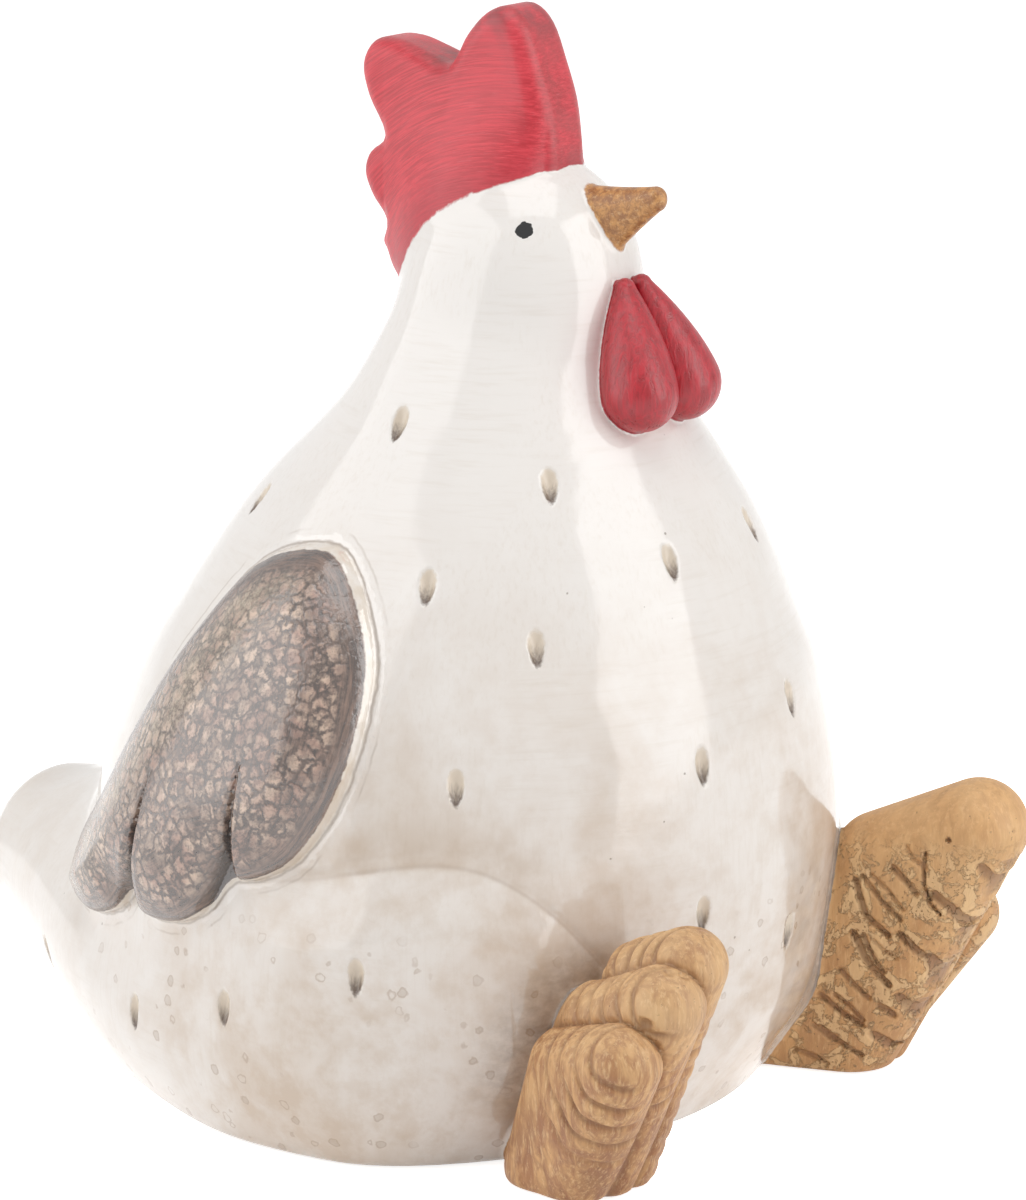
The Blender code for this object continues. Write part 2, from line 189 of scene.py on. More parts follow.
WING_OUTLINE = (
    (6, 147.5),
    (-5, 143),
    (-16, 127),
    (-18.5, 111),
    (-15.5, 93),
    (-7, 78),
    (4, 71),
    (13.5, 68.5),
    (20, 61),
    (30, 55),
    (44, 53),
    (52, 57),
    (60, 50),
    (74, 45),
    (88, 48.5),
    (86, 61),
    (71, 78),
    (57.5, 99),
    (43, 121),
    (25.5, 141),
)
WING_BOX = ((20, -35, 35), (120, 100, 160))
WING_SLACK = 0.62
WING_LEAST_RISE = 0.5
WING_RISE = 3.4
WING_ROUND = 3.0
WING_CUSHION = 7.0
WING_CUSHION_WIDTH = 23.0
# Grooves between the three feathers: points as y and z, half width at each
FEATHER_GROOVES = (
    ((7.5, 100, 0.4), (10.5, 84, 2.6), (16.5, 60, 7.0)),
    ((39, 92, 0.4), (44, 73, 2.4), (53, 49, 6.5)),
)
GROOVE_DEPTH = 1.3

# Toes: front and back of the root, front and back of the tip, root radius, tip radius
RIGHT_TOES = (
    ((52, -69, -2), (47, -52, 2), (58, -97, 60), (56, -83, 54), 10.5, 9.3),
    ((58, -68, -2), (54, -54, 2), (68, -97, 53), (61, -74.5, 43), 10.6, 9.8),
    ((62, -66, -2), (63, -59.5, 4), (78, -92, 40.5), (68, -70, 33), 10.0, 9.6),
)
LEFT_TOES = (
    ((54, -68, -2), (48, -52, 4), (59, -105.3, 67.2), (54, -80, 55.5), 11.5, 12.4),
    ((60, -68, -2), (56, -50, 2), (66, -97, 52), (62, -80, 46), 11, 9.6),
    ((66, -62, -2), (64, -46, 2), (76, -91, 38), (71, -75, 33), 10.5, 9.2),
)

# Smooth pad of each toe of the right foot: its middle and radius, and how far apart creases are
RIGHT_PADS = (
    ((64, -102, 66), 9.8, 5.0),
    ((74.5, -101.5, 56.5), 9.0, 5.4),
    ((83, -96.3, 44.8), 7.8, 6.8),
)
CREASE_DEPTH = 1.15
CREASE_HALF = 0.95
# The creases end this far from the middle of the pad
CREASE_REACH = (30, 40)
# Groove where two toes meet
VALLEY_DEPTH = 0.9
VALLEY_HALF = 0.9
# Level creases on the front of the right foot's inner toe
FRONT_CREASE_PITCH = 5.4
FRONT_CREASE_DEPTH = 0.35
FRONT_CREASE_TOP = 52.0
FRONT_CREASE_TILT = 0.35
TOE_FILLET = 1.2
TOE_SLACK = 0.96
TOE_ROUNDS = 3
# The direction to the right in the photograph, in which the creases fade
FADE_TO = (0.588, -0.809)

# Marks on the left foot's inner side: half width, depth, points as y and z
LEFT_FOOT_MARKS = (
    (1.0, 1.3, ((-79.7, 52.9), (-82.4, 44), (-88, 39.4))),
    (0.8, 1.0, ((-81.7, 54.2), (-86.3, 48.5), (-91.3, 43.8))),
    (0.7, 0.8, ((-83.7, 54.9), (-88.2, 51.4), (-92, 46.5))),
    (1.0, 1.1, ((-89.5, 57.5), (-92.7, 54.5), (-95.2, 51.5))),
    (0.8, 0.7, ((-92.9, 63.1), (-95.2, 60.1), (-97.7, 58.5))),
    (1.1, 1.4, ((-79.2, 39), (-82.2, 32), (-87.7, 25.9))),
    (0.8, 1.0, ((-81.7, 38.6), (-84.2, 32.9), (-86.6, 29.1))),
    (0.7, 0.8, ((-84.3, 37.6), (-86.7, 35.2), (-89.8, 33.6))),
    (0.9, 1.0, ((-75.9, 28.5), (-79, 24.9), (-82.6, 21.9))),
    (1.0, 1.2, ((-70.7, 21.2), (-75.6, 17), (-80.5, 14.2))),
    (0.8, 1.1, ((-74.4, 21.6), (-77.6, 19.3), (-80.9, 15.6))),
    (0.8, 0.9, ((-68.6, 12.8), (-72.2, 9.8), (-76.6, 8.2))),
    (0.9, 1.1, ((-70.4, 12.3), (-75.3, 8.7), (-79.9, 5.7))),
    (0.9, 0.9, ((-64, 5.4), (-67.7, 4.4), (-71.3, 2.8))),
    (1.4, 1.5, ((-100.2, 51.5), (-103.4, 48.4), (-105.2, 43.9))),
    (1.2, 1.3, ((-111.1, 59.8), (-112, 55.2), (-110.5, 50.1))),
    (1.0, 1.2, ((-115.1, 60), (-114.5, 57.2), (-113.6, 55))),
    (1.2, 1.4, ((-91.2, 39.8), (-93.7, 37.4), (-95.9, 34.8))),
    (1.2, 1.2, ((-104.2, 40.9), (-103.9, 39.1), (-102.8, 36.3))),
    (1.4, 1.4, ((-97.3, 34.1), (-97.7, 30.2), (-96.2, 24.5))),
    (1.3, 1.4, ((-89.8, 22.6), (-90.9, 20.3), (-91.1, 16.8))),
    (1.1, 1.2, ((-85.3, 19.8), (-86.7, 18.9), (-87.6, 17.4))),
    (1.3, 1.3, ((-83.2, 11.6), (-84.5, 10.1), (-85.1, 8.4))),
    (1.0, 1.0, ((-93.2, 20.5), (-92.9, 18.9), (-92.1, 17.1))),
    (1.0, 1.0, ((-100.4, 32.5), (-99.7, 30.8), (-98.5, 28.5))),
    (0.5, 1.4, ((-98.1, 62.4), (-97.4, 58.4), (-97.6, 53.8), (-98.6, 49.6), (-101, 46.5))),
)
MARK_SPREAD = 1.12
# Chipped pits between the toes: place and radius
PITS = (
    (-79.3, -100, 48.8, 2.6),
    (-77.5, -98, 50.6, 2.2),
    (-70.5, -100, 63, 2.0),
    (-68, -102.5, 61.8, 1.6),
    (46.9, -104, 66.4, 0.9),
    (55.7, -117.8, 68.9, 0.9),
)
PIT_DEPTH = 2.4

# Pressed dents: height and bearing in degrees, 0 in front and 90 on the right side
DENTS = (
    (175, 87),
    (151, 132),
    (163, 41),
    (144, 15),
    (146, -19),
    (141, 69),
    (128, 47),
    (106, -10),
    (97, 17),
    (97, 61),
    (74, 160),
    (23, 154),
    (26, 122),
    (37, 99),
    (52, 75),
    (61, 18),
    (48, -7),
)
DENT_MIRRORED_FROM = 30
DENT_HALF_LENGTH = 5.3
DENT_HALF_WIDTH = 2.3
DENT_DEPTH = 1.5

EYE_PLACE = (19.8, -21.8, 220.7)
EYE_RADIUS = 2.1
VENT_RADIUS = 8.0
VENT_Y = 26.0
VENT_DEPTH = 30.0
VENT_EDGE = 1.0
BASE_EDGE = 2.0
# Fillets where each form meets the hen, in the order in which they join it
FILLETS = {"wing": 0.8, "foot": 2.2, "beak": 1.5, "wattle": 1.2, "comb": 2.0}

# Steps of the three grids that close in on the skin, and the triangles that it keeps
GRID_STEPS = (7.2, 2.4, 0.8)
SKIN_TRIANGLES = 330_000
# How far past its own border a painted piece reaches into the white glaze
PAINT_MARGIN = 1.6


def soft_min(a, b, reach):
    """The smaller of two distances, with a fillet of this reach."""
    share = np.clip(0.5 + 0.5 * (b - a) / reach, 0.0, 1.0)
    return b + (a - b) * share - reach * share * (1.0 - share)


def soft_max(a, b, reach):
    """The larger of two distances, with an edge rounded by this reach."""
    return -soft_min(-a, -b, reach)


def smooth_step(value, low, high):
    """0 below low, 1 above high and a smooth rise between."""
    t = np.clip((value - low) / (high - low), 0.0, 1.0)
    return t * t * (3 - 2 * t)


def curve_through(at, values):
    """A natural cubic curve through values at these places, as a fine table."""
    at = np.asarray(at, float)
    values = np.asarray(values, float)
    gaps = np.diff(at)
    count = len(at)
    system = np.eye(count)
    bends = np.zeros(count)
    for i in range(1, count - 1):
        system[i, i - 1 : i + 2] = (gaps[i - 1], 2 * (gaps[i - 1] + gaps[i]), gaps[i])
        rise = (values[i + 1] - values[i]) / gaps[i] - (values[i] - values[i - 1]) / gaps[i - 1]
        bends[i] = 6 * rise
    second = np.linalg.solve(system, bends)
    places = np.linspace(at[0], at[-1], 3000)
    left = np.clip(np.searchsorted(at, places) - 1, 0, count - 2)
    gap = gaps[left]
    a = (at[left + 1] - places) / gap
    b = (places - at[left]) / gap
    bend = ((a**3 - a) * second[left] + (b**3 - b) * second[left + 1]) * gap**2 / 6
    return places, a * values[left] + b * values[left + 1] + bend


def columns(rows):
    """A smooth curve for each column of a table of stations, after the first."""
    table = np.array(rows, float)
    return [curve_through(table[:, 0], table[:, i]) for i in range(1, table.shape[1])]


def slope(at, curve):
    """The curve's slope at these places."""
    return np.interp(at + 0.5, *curve) - np.interp(at - 0.5, *curve)


def ellipsoid(points, centre, radii):
    """The distance to an ellipsoid."""
    away = points - np.asarray(centre, float)
    radii = np.asarray(radii, float)
    near = np.linalg.norm(away / radii, axis=-1)
    steep = np.linalg.norm(away / radii**2, axis=-1) + 1e-9
    return near * (near - 1.0) / steep


def outline_curve(points, steps):
    """A smooth closed curve through the points."""
    points = np.asarray(points, float)
    before, after = np.roll(points, 1, axis=0), np.roll(points, -1, axis=0)
    later = np.roll(points, -2, axis=0)
    made = []
    for t in np.linspace(0, 1, steps, endpoint=False):
        bend = 2 * before - 5 * points + 4 * after - later
        twist = 3 * points - before - 3 * after + later
        made.append(0.5 * (2 * points + (after - before) * t + bend * t**2 + twist * t**3))
    return np.stack(made, axis=1).reshape(-1, 2)


def outline_distance(u, v, outline):
    """The distance to a closed outline in a plane, negative inside."""
    nearest = np.full(u.shape, 1e12)
    inside = np.zeros(u.shape, bool)
    for (ax, ay), (bx, by) in zip(outline, np.roll(outline, -1, axis=0)):
        ex, ey = bx - ax, by - ay
        wx, wy = u - ax, v - ay
        t = np.clip((wx * ex + wy * ey) / (ex * ex + ey * ey), 0, 1)
        nearest = np.minimum(nearest, (wx - ex * t) ** 2 + (wy - ey * t) ** 2)
        if ay != by:
            crossed = ((ay > v) != (by > v)) & (u < ex * (v - ay) / ey + ax)
            inside ^= crossed
    nearest = np.sqrt(nearest)
    return np.where(inside, -nearest, nearest)


def within(points, low, high, measure):
    """The measure of the points inside a box, and a far distance for the others."""
    chosen = np.all((points > np.asarray(low)) & (points < np.asarray(high)), axis=-1)
    result = np.full(len(points), FAR)
    if chosen.any():
        result[chosen] = measure(points[chosen])
    return result


BODY_CURVES = columns(BODY)
RUMP_CURVES = columns(RUMP)
THIGH_CURVE = curve_through(*np.array(THIGH_ARC, float).T)
COMB_CURVE = outline_curve(COMB_OUTLINE, 4)
WING_CURVE = outline_curve(WING_OUTLINE, 4)


def level_distance(value, steep):
    """The distance to the surface on which a value is 1, from the value and its steepness."""
    root = np.sqrt(np.maximum(value, 1e-6))
    return (root - 1) * 2 * root / np.maximum(steep, LEAST_STEEPNESS)


def left_side(points):
    """The points, with those on the hen's right mirrored to its left."""
    return np.column_stack([np.abs(points[:, 0]), points[:, 1], points[:, 2]])


def stroke_distance(y, z, start, end):
    """The distance to a straight stroke in the plane of y and z, and the share along it."""
    (y0, z0), (y1, z1) = start, end
    ey, ez = y1 - y0, z1 - z0
    t = np.clip(((y - y0) * ey + (z - z0) * ez) / (ey * ey + ez * ez), 0, 1)
    return np.hypot(y - y0 - ey * t, z - z0 - ez * t), t


def plate_distance(flat, across, edge):
    """The distance to a plate with a rounded edge, from those to its outline and its face."""
    flat, across = flat + edge, across + edge
    rounded = np.hypot(np.maximum(flat, 0), np.maximum(across, 0))
    return np.minimum(np.maximum(flat, across), 0) + rounded - edge


def body(points):
    """The upright body: level ellipses that are deeper behind than in front."""
    x, y, z = points.T
    z_in = np.clip(z, BODY[0][0], BODY[-1][0])
    width_curve, front_curve, back_curve = BODY_CURVES
    wide = np.interp(z_in, *width_curve)
    deep = np.where(y < 0, np.interp(z_in, *front_curve), np.interp(z_in, *back_curve))
    wide_slope = slope(z_in, width_curve)
    deep_slope = np.where(y < 0, slope(z_in, front_curve), slope(z_in, back_curve))
    lift = np.clip((z - CROWN_START) / CROWN_RISE, 0, None)
    value = (x / wide) ** 2 + (y / deep) ** 2 + lift**2
    steep_z = 2 * lift / CROWN_RISE - 2 * x * x * wide_slope / wide**3
    steep_z -= 2 * y * y * deep_slope / deep**3
    steep = np.sqrt((2 * x / wide**2) ** 2 + (2 * y / deep**2) ** 2 + steep_z**2)
    return level_distance(value, steep)


def rump(points):
    """The rump and tail: upright ellipses that get smaller to the back."""
    x, y, z = points.T
    y_in = np.clip(y, RUMP[0][0], RUMP[-1][0])
    width_curve, middle_curve, rise_curve, drop_curve = RUMP_CURVES
    wide = np.interp(y_in, *width_curve)
    up = z - np.interp(y_in, *middle_curve)
    tall = np.where(up > 0, np.interp(y_in, *rise_curve), np.interp(y_in, *drop_curve))
    tall_slope = np.where(up > 0, slope(y_in, rise_curve), slope(y_in, drop_curve))
    past = np.clip((y - TAIL_START) / TAIL_LENGTH, 0, None)
    before = np.clip((CHEST_START - y) / CHEST_LENGTH, 0, None)
    value = (x / wide) ** 2 + (up / tall) ** 2 + past**2 + before**2
    steep_y = 2 * past / TAIL_LENGTH - 2 * before / CHEST_LENGTH
    steep_y -= 2 * x * x * slope(y_in, width_curve) / wide**3
    steep_y -= 2 * up * slope(y_in, middle_curve) / tall**2 + 2 * up**2 * tall_slope / tall**3
    steep = np.sqrt((2 * x / wide**2) ** 2 + (2 * up / tall**2) ** 2 + steep_y**2)
    return level_distance(value, steep)


def thigh_border(points):
    """How far each place lies above the thigh's border, and how strong the border is there."""
    bearing = np.degrees(np.arctan2(np.abs(points[:, 0]), -points[:, 1]))
    above = points[:, 2] - np.interp(bearing, *THIGH_CURVE)
    strength = smooth_step(bearing, *THIGH_START) * (1 - smooth_step(bearing, *THIGH_FADE))
    return above, strength


def trunk(points):
    """Body, head and rump, run together, with a swelling over each thigh."""
    (least, most), (low, high) = RUMP_FILLET, RUMP_FILLET_HEIGHTS
    fillet = least + (most - least) * np.clip((points[:, 2] - low) / (high - low), 0.0, 1.0)
    shape = soft_min(body(points), ellipsoid(points, HEAD_CENTRE, HEAD_RADII), HEAD_FILLET)
    above, strength = thigh_border(points)
    up = smooth_step(points[:, 2], *THIGH_FOOT)
    swelling = THIGH_RISE * strength * up * smooth_step(-above, -1.0, THIGH_RAMP)
    crease = THIGH_CREASE * strength * np.exp(-((above / THIGH_CREASE_HALF) ** 2))
    return soft_min(shape, rump(points), fillet) - swelling + crease


def beak(points):
    """A beak that thins to a round tip, with a slightly hollow back."""
    root, tip = np.array(BEAK_ROOT, float), np.array(BEAK_TIP, float)
    axis = tip - root
    up = np.cross(axis, (1.0, 0, 0))
    up /= np.linalg.norm(up)

    def measure(near):
        away = near - root
        along = np.clip(away @ axis / (axis @ axis), 0, 1)
        (wide0, high0, low0), (wide1, high1, low1) = BEAK_HALVES
        rest = away - along[:, None] * axis
        rise = rest @ up
        past = rest - rise[:, None] * up
        past[:, 0] = 0
        wide = wide0 + (wide1 - wide0) * along
        high = high0 + (high1 - high0) * along
        low = low0 + (low1 - low0) * along
        tall = np.where(rise > 0, high, low) - BEAK_HOLLOW * 4 * along * (1 - along)
        reach = (rest[:, 0] / wide) ** 2 + (rise / tall) ** 2 + (past**2).sum(axis=1) / wide**2
        reach = np.sqrt(reach)
        return (reach - 1) * np.minimum(wide, tall)

    return within(points, (-20, -65, 200), (20, -15, 245), measure)


def wattles(points):
    """The two drops under the beak."""

    def measure(near):
        mirrored = left_side(near)
        start, end = np.array(WATTLE_TOP, float), np.array(WATTLE_DROP, float)
        axis = end - start
        along = np.clip(((mirrored - start) @ axis) / (axis @ axis), 0, 1)
        away = np.linalg.norm(mirrored - start - along[:, None] * axis, axis=1)
        thin, thick = WATTLE_RADII
        radius = thin + (thick - thin) * (1 - (1 - along) ** WATTLE_SWELL)
        return (away - radius) * WATTLE_SLACK

    return within(points, (-35, -72, 160), (35, -20, 220), measure)


def comb(points, above):
    """The comb: a thick plate in the middle plane that flares out where it stands on the head."""

    def measure(near):
        x, y, z, over = near.T
        middle, long, wide, high = COMB_FOOT
        inside = np.maximum(0, 1 - ((y - middle) / long) ** 2)
        foot = np.maximum(COMB_HALF, wide * np.sqrt(inside))
        half = COMB_HALF + (foot - COMB_HALF) * np.exp(-np.maximum(over, 0) / high)
        return plate_distance(outline_distance(y, z, COMB_CURVE), np.abs(x) - half, COMB_EDGE)

    four = np.column_stack([points, above])
    low, high = COMB_BOX
    return within(four, (*low, -FAR * 9), (*high, FAR * 9), measure)


def groove_depth(y, z, groove):
    """How deep a tapering groove cuts at each place."""
    depth = np.zeros(y.shape)
    for (*start, half0), (*end, half1) in zip(groove, groove[1:]):
        away, t = stroke_distance(y, z, start, end)
        half = half0 + (half1 - half0) * t
        cut = GROOVE_DEPTH * half * np.clip(1 - away / half, 0, 1) ** 1.5
        depth = np.maximum(depth, cut)
    return depth


def wings(points, above):
    """Both wings: a raised pad on the body's side, with grooves between its feathers."""

    def measure(near):
        x, y, z, over = near.T
        flat = outline_distance(y, z, WING_CURVE)
        dome = np.clip(1 + flat / WING_CUSHION_WIDTH, 0, 1)
        rise = WING_RISE + WING_CUSHION * (1 - dome**2)
        for groove in FEATHER_GROOVES:
            rise = rise - groove_depth(y, z, groove)
        across = over - np.maximum(rise, WING_LEAST_RISE)
        return plate_distance(flat, across, WING_ROUND) * WING_SLACK

    four = np.column_stack([left_side(points), above])
    low, high = WING_BOX
    return within(four, (*low, -FAR * 9), (*high, 20), measure)


def toe(points, front_root, back_root, front_tip, back_tip, root_radius, tip_radius):
    """A toe, deep from front to back: its distance, and how far behind its front a place is."""
    front_root, back_root = np.asarray(front_root, float), np.asarray(back_root, float)
    front_run, back_run = front_tip - front_root, back_tip - back_root
    share = np.full((len(points), 1), 0.5)
    for _ in range(TOE_ROUNDS):
        away = points - front_root - (back_root - front_root) * share
        run = front_run + (back_run - front_run) * share
        along = np.clip((away * run).sum(axis=1) / (run**2).sum(axis=1), 0, 1)[:, None]
        front = front_root + front_run * along
        deep = back_root + back_run * along - front
        behind = ((points - front) * deep).sum(axis=1) / (deep**2).sum(axis=1)
        share = np.clip(behind, 0, 1)[:, None]
    away = np.linalg.norm(points - front - deep * share, axis=1)
    radius = root_radius + (tip_radius - root_radius) * along[:, 0]
    return (away - radius) * TOE_SLACK, behind * np.linalg.norm(deep, axis=1)


def creases(points, pad):
    """How deep the creases behind a toe's smooth pad are."""
    middle, radius, pitch = pad
    away = points - middle
    x, y, z = points.T
    wobble = 0.5 * np.sin(x * 0.35) + 0.4 * np.sin(y * 0.5 + z * 0.3)
    phase = (np.linalg.norm(away, axis=1) - radius + wobble) / pitch
    off = np.abs(phase - np.maximum(np.round(phase), 0)) * pitch
    ahead = away[:, 1] * FADE_TO[1] - away[:, 0] * FADE_TO[0]
    fade = 1 - smooth_step(ahead, -1, 5)
    fade = fade * (1 - smooth_step(np.linalg.norm(away, axis=1), *CREASE_REACH))
    uneven = 0.8 + 0.3 * np.sin(z * 0.23 + y * 0.17) * np.sin(x * 0.29)
    return CREASE_DEPTH * fade * uneven * np.exp(-((off / CREASE_HALF) ** 2))


def front_creases(points, behind):
    """How deep the level creases on the front of the inner toe are."""
    z = points[:, 2]
    turns = (z - FRONT_CREASE_TILT * points[:, 0]) / FRONT_CREASE_PITCH
    off = np.abs(turns - np.round(turns)) * FRONT_CREASE_PITCH
    fade = 1 - smooth_step(z, FRONT_CREASE_TOP - 6, FRONT_CREASE_TOP)
    fade = smooth_step(-behind, 2, 7) * fade
    return FRONT_CREASE_DEPTH * fade * np.exp(-((off / CREASE_HALF) ** 2))


def marks(y, z):
    """How deep the left foot's marks go at each place."""
    depth = np.zeros(y.shape)
    for half, deep, line in LEFT_FOOT_MARKS:
        for start, end in zip(line, line[1:]):
            away = stroke_distance(y, z, start, end)[0] / (half * MARK_SPREAD)
            depth = np.maximum(depth, deep * np.clip(1 - away**2, 0, 1))
    return depth


def one_foot(points, toes, pads):
    """A foot's distance, and how deep it is creased."""
    shape, carved = np.full(len(points), FAR), np.zeros(len(points))
    for i, sizes in enumerate(toes):
        part, behind = toe(points, *sizes)
        crease = creases(points, pads[i]) if pads else np.zeros(len(points))
        if pads and i == 0:
            crease = np.maximum(crease, front_creases(points, behind))
        valley = VALLEY_DEPTH * np.exp(-(((part - shape) / VALLEY_HALF) ** 2))
        carved = np.maximum(np.where(part < shape, crease, carved), valley)
        shape = soft_min(shape, part, TOE_FILLET)
    return shape, carved


def feet(points):
    """Both feet: their distance, and how deep they are creased."""
    low, high = np.array((-105, -135, -20)), np.array((105, -25, 95))
    chosen = np.all((points > low) & (points < high), axis=1)
    shape, carved = np.full(len(points), FAR), np.zeros(len(points))
    for side, toes, pads in ((-1, RIGHT_TOES, RIGHT_PADS), (1, LEFT_TOES, None)):
        own = np.flatnonzero(chosen & (points[:, 0] * side > 0))
        mirrored = points[own] * (side, 1, 1)
        shape[own], carved[own] = one_foot(mirrored, toes, pads)
        if not pads:
            inner = 1 - smooth_step(mirrored[:, 0], 60, 66)
            carved[own] = np.maximum(carved[own], marks(mirrored[:, 1], mirrored[:, 2]) * inner)
    for x, y, z, radius in PITS:
        near = np.flatnonzero(np.abs(points - (x, y, z)).max(axis=1) < radius)
        away = np.linalg.norm(points[near] - (x, y, z), axis=1) / radius
        carved[near] = np.maximum(carved[near], PIT_DEPTH * np.clip(1 - away**2, 0, 1))
    return shape, carved


def dent_places():
    """Each dent's place on the trunk, with its directions across and down."""
    rows = [(height, bearing) for height, bearing in DENTS]
    rows += [(height, -bearing) for height, bearing in DENTS if bearing > DENT_MIRRORED_FROM]
    made = []
    for height, bearing in rows:
        turn = math.radians(bearing)
        out = np.array((-math.sin(turn), -math.cos(turn), 0.0))
        reach = np.linspace(10, 140, 1300)
        line = reach[:, None] * out + (0, 0, height)
        place = line[np.flatnonzero(trunk(line) < 0)[-1]]
        step = np.eye(3)
        rise = [trunk(np.array([place + step[i], place - step[i]])) for i in range(3)]
        normal = np.array([ends[0] - ends[1] for ends in rise])
        normal /= np.linalg.norm(normal)
        down = np.array((0, 0, -1.0)) + normal * normal[2]
        down /= np.linalg.norm(down)
        across = np.cross(normal, down)
        made.append((place, across, down))
    return made


DENT_PLACES = dent_places()


def dents(points):
    """The nearest dent: 0 at its middle and 1 at its rim, and the place down it from -1 to 1."""
    nearest, down_it = np.full(len(points), 9.0), np.zeros(len(points))
    for place, across, down in DENT_PLACES:
        away = points - place
        close = np.flatnonzero(np.abs(away).max(axis=1) < 3 * DENT_HALF_LENGTH)
        u, v = away[close] @ across, away[close] @ down / DENT_HALF_LENGTH
        half = DENT_HALF_WIDTH * np.clip(1 - 0.3 * v, 0.4, 1.5)
        measure = np.hypot(u / half, v)
        better = measure < nearest[close]
        nearest[close[better]] = measure[better]
        down_it[close[better]] = v[better]
    return nearest, down_it


def eyes(points):
    """A low blob on each side of the head."""
    return np.linalg.norm(left_side(points) - EYE_PLACE, axis=1) - EYE_RADIUS


def measures(points):
    """The distances to all forms of the hen, by name."""
    made = {"trunk": trunk(points)}
    made["wing"] = wings(points, made["trunk"])
    made["comb"] = comb(points, made["trunk"])
    made["beak"] = beak(points)
    made["wattle"] = wattles(points)
    made["foot"], made["carved"] = feet(points)
    made["eye"] = eyes(points)
    made["dent"], made["dent_down"] = dents(points)
    return made


def hen(points, forms=None):
    """The distance to the whole hen."""
    forms = forms or measures(points)
    shape = forms["trunk"]
    for name, fillet in FILLETS.items():
        form = forms["foot"] + forms["carved"] if name == "foot" else forms[name]
        shape = soft_min(shape, form, fillet)
    shape = shape + DENT_DEPTH * np.clip(1 - forms["dent"] ** 2, 0, 1) ** 1.5
    shape = soft_max(shape, -points[:, 2], BASE_EDGE)
    vent = np.hypot(points[:, 0], points[:, 1] - VENT_Y) - VENT_RADIUS
    vent = np.maximum(vent, points[:, 2] - VENT_DEPTH)
    return soft_max(shape, -vent, VENT_EDGE)


def near_cells(origin, step, counts):
    """The cells of a fine grid that lie near the skin, with their distances."""
    block = [np.arange(n) for n in counts]
    cells = np.stack(np.meshgrid(*block, indexing="ij"), -1).reshape(-1, 3)
    for finer in GRID_STEPS[1:]:
        close = cells[np.abs(hen(origin + cells * step)) < 1.5 * step]
        times = round(step / finer)
        block = [np.arange(times) - times // 2] * 3
        inner = np.stack(np.meshgrid(*block, indexing="ij"), -1).reshape(-1, 3)
        cells = (close[:, None, :] * times + inner).reshape(-1, 3)
        step = step / times
    return cells, hen(origin + cells * step), step


def skin_surface():
    """The hen's skin as points in millimetres and faces."""
    low = np.array(cad_box[0]) / MM - 2 * GRID_STEPS[0]
    high = np.array(cad_box[1]) / MM + 2 * GRID_STEPS[0]
    counts = np.ceil((high - low) / GRID_STEPS[0]).astype(int)
    cells, values, step = near_cells(low, GRID_STEPS[0], counts)
    start = cells.min(axis=0)
    size = cells.max(axis=0) - start + 1
    band = 2.5 * step
    block = np.full(size, band, np.float32)
    block[tuple((cells - start).T)] = np.clip(values, -band, band)
    grid = openvdb.FloatGrid(band)
    grid.copyFromArray(block, tolerance=0.0)
    grid.signedFloodFill()
    points, triangles, quads = grid.convertToPolygons(0.0, 0.0)
    return low + (start + points) * step, triangles, quads


def grown_mesh(name, points, triangles, quads):
    """A mesh of these faces, in metres."""
    mesh = bpy.data.meshes.new(name)
    mesh.from_pydata(points * MM, [], quads.tolist() + triangles.tolist())
    mesh.update()
    return mesh


def thinned(mesh, triangles):
    """The mesh with fewer triangles, and most of them where it bends."""
    obj = bpy.data.objects.new(mesh.name, mesh)
    bpy.context.collection.objects.link(obj)
    mesh.calc_loop_triangles()
    thin = obj.modifiers.new("thin", "DECIMATE")
    thin.ratio = triangles / len(mesh.loop_triangles)
    thin.use_collapse_triangulate = True
    found = obj.evaluated_get(bpy.context.evaluated_depsgraph_get())
    result = bpy.data.meshes.new_from_object(found)
    bpy.data.objects.remove(obj)
    return result


def normals_at(points, reach=0.25):
    """The skin's outward directions."""
    made = np.empty(points.shape)
    for i in range(3):
        step = np.zeros(3)
        step[i] = reach
        made[:, i] = hen(points + step) - hen(points - step)
    return made / np.linalg.norm(made, axis=1, keepdims=True)


# Pieces of the skin: the measure that bounds each, and the side of the hen that it is on
PIECES = (
    ("hen_beak", "beak", 0),
    ("hen_wattles", "wattle", 0),
    ("hen_comb", "comb", 0),
    ("hen_foot_right", "foot", -1),
    ("hen_foot_left", "foot", 1),
    ("hen_wing_right", "wing_edge", -1),
    ("hen_wing_left", "wing_edge", 1),
)


def edge_measure(points, box, curve):
    """The distance to an outline in the plane of y and z, for the points inside a box."""
    return within(points, *box, lambda near: outline_distance(near[:, 1], near[:, 2], curve))


def paint_measures(points, forms):
    """The measures that the paint goes by, beside those of the forms."""
    y, z = points[:, 1], points[:, 2]
    made = {}
    for name in ("trunk", "comb", "beak", "wattle", "foot", "carved", "eye", "dent", "dent_down"):
        made[name] = forms[name]
    made["wing_edge"] = edge_measure(left_side(points), WING_BOX, WING_CURVE)
    made["groove"] = np.max([groove_depth(y, z, groove) for groove in FEATHER_GROOVES], axis=0)
    made["comb_edge"] = edge_measure(points, COMB_BOX, COMB_CURVE)
    made["thigh"], made["thigh_strength"] = thigh_border(points)
    return made


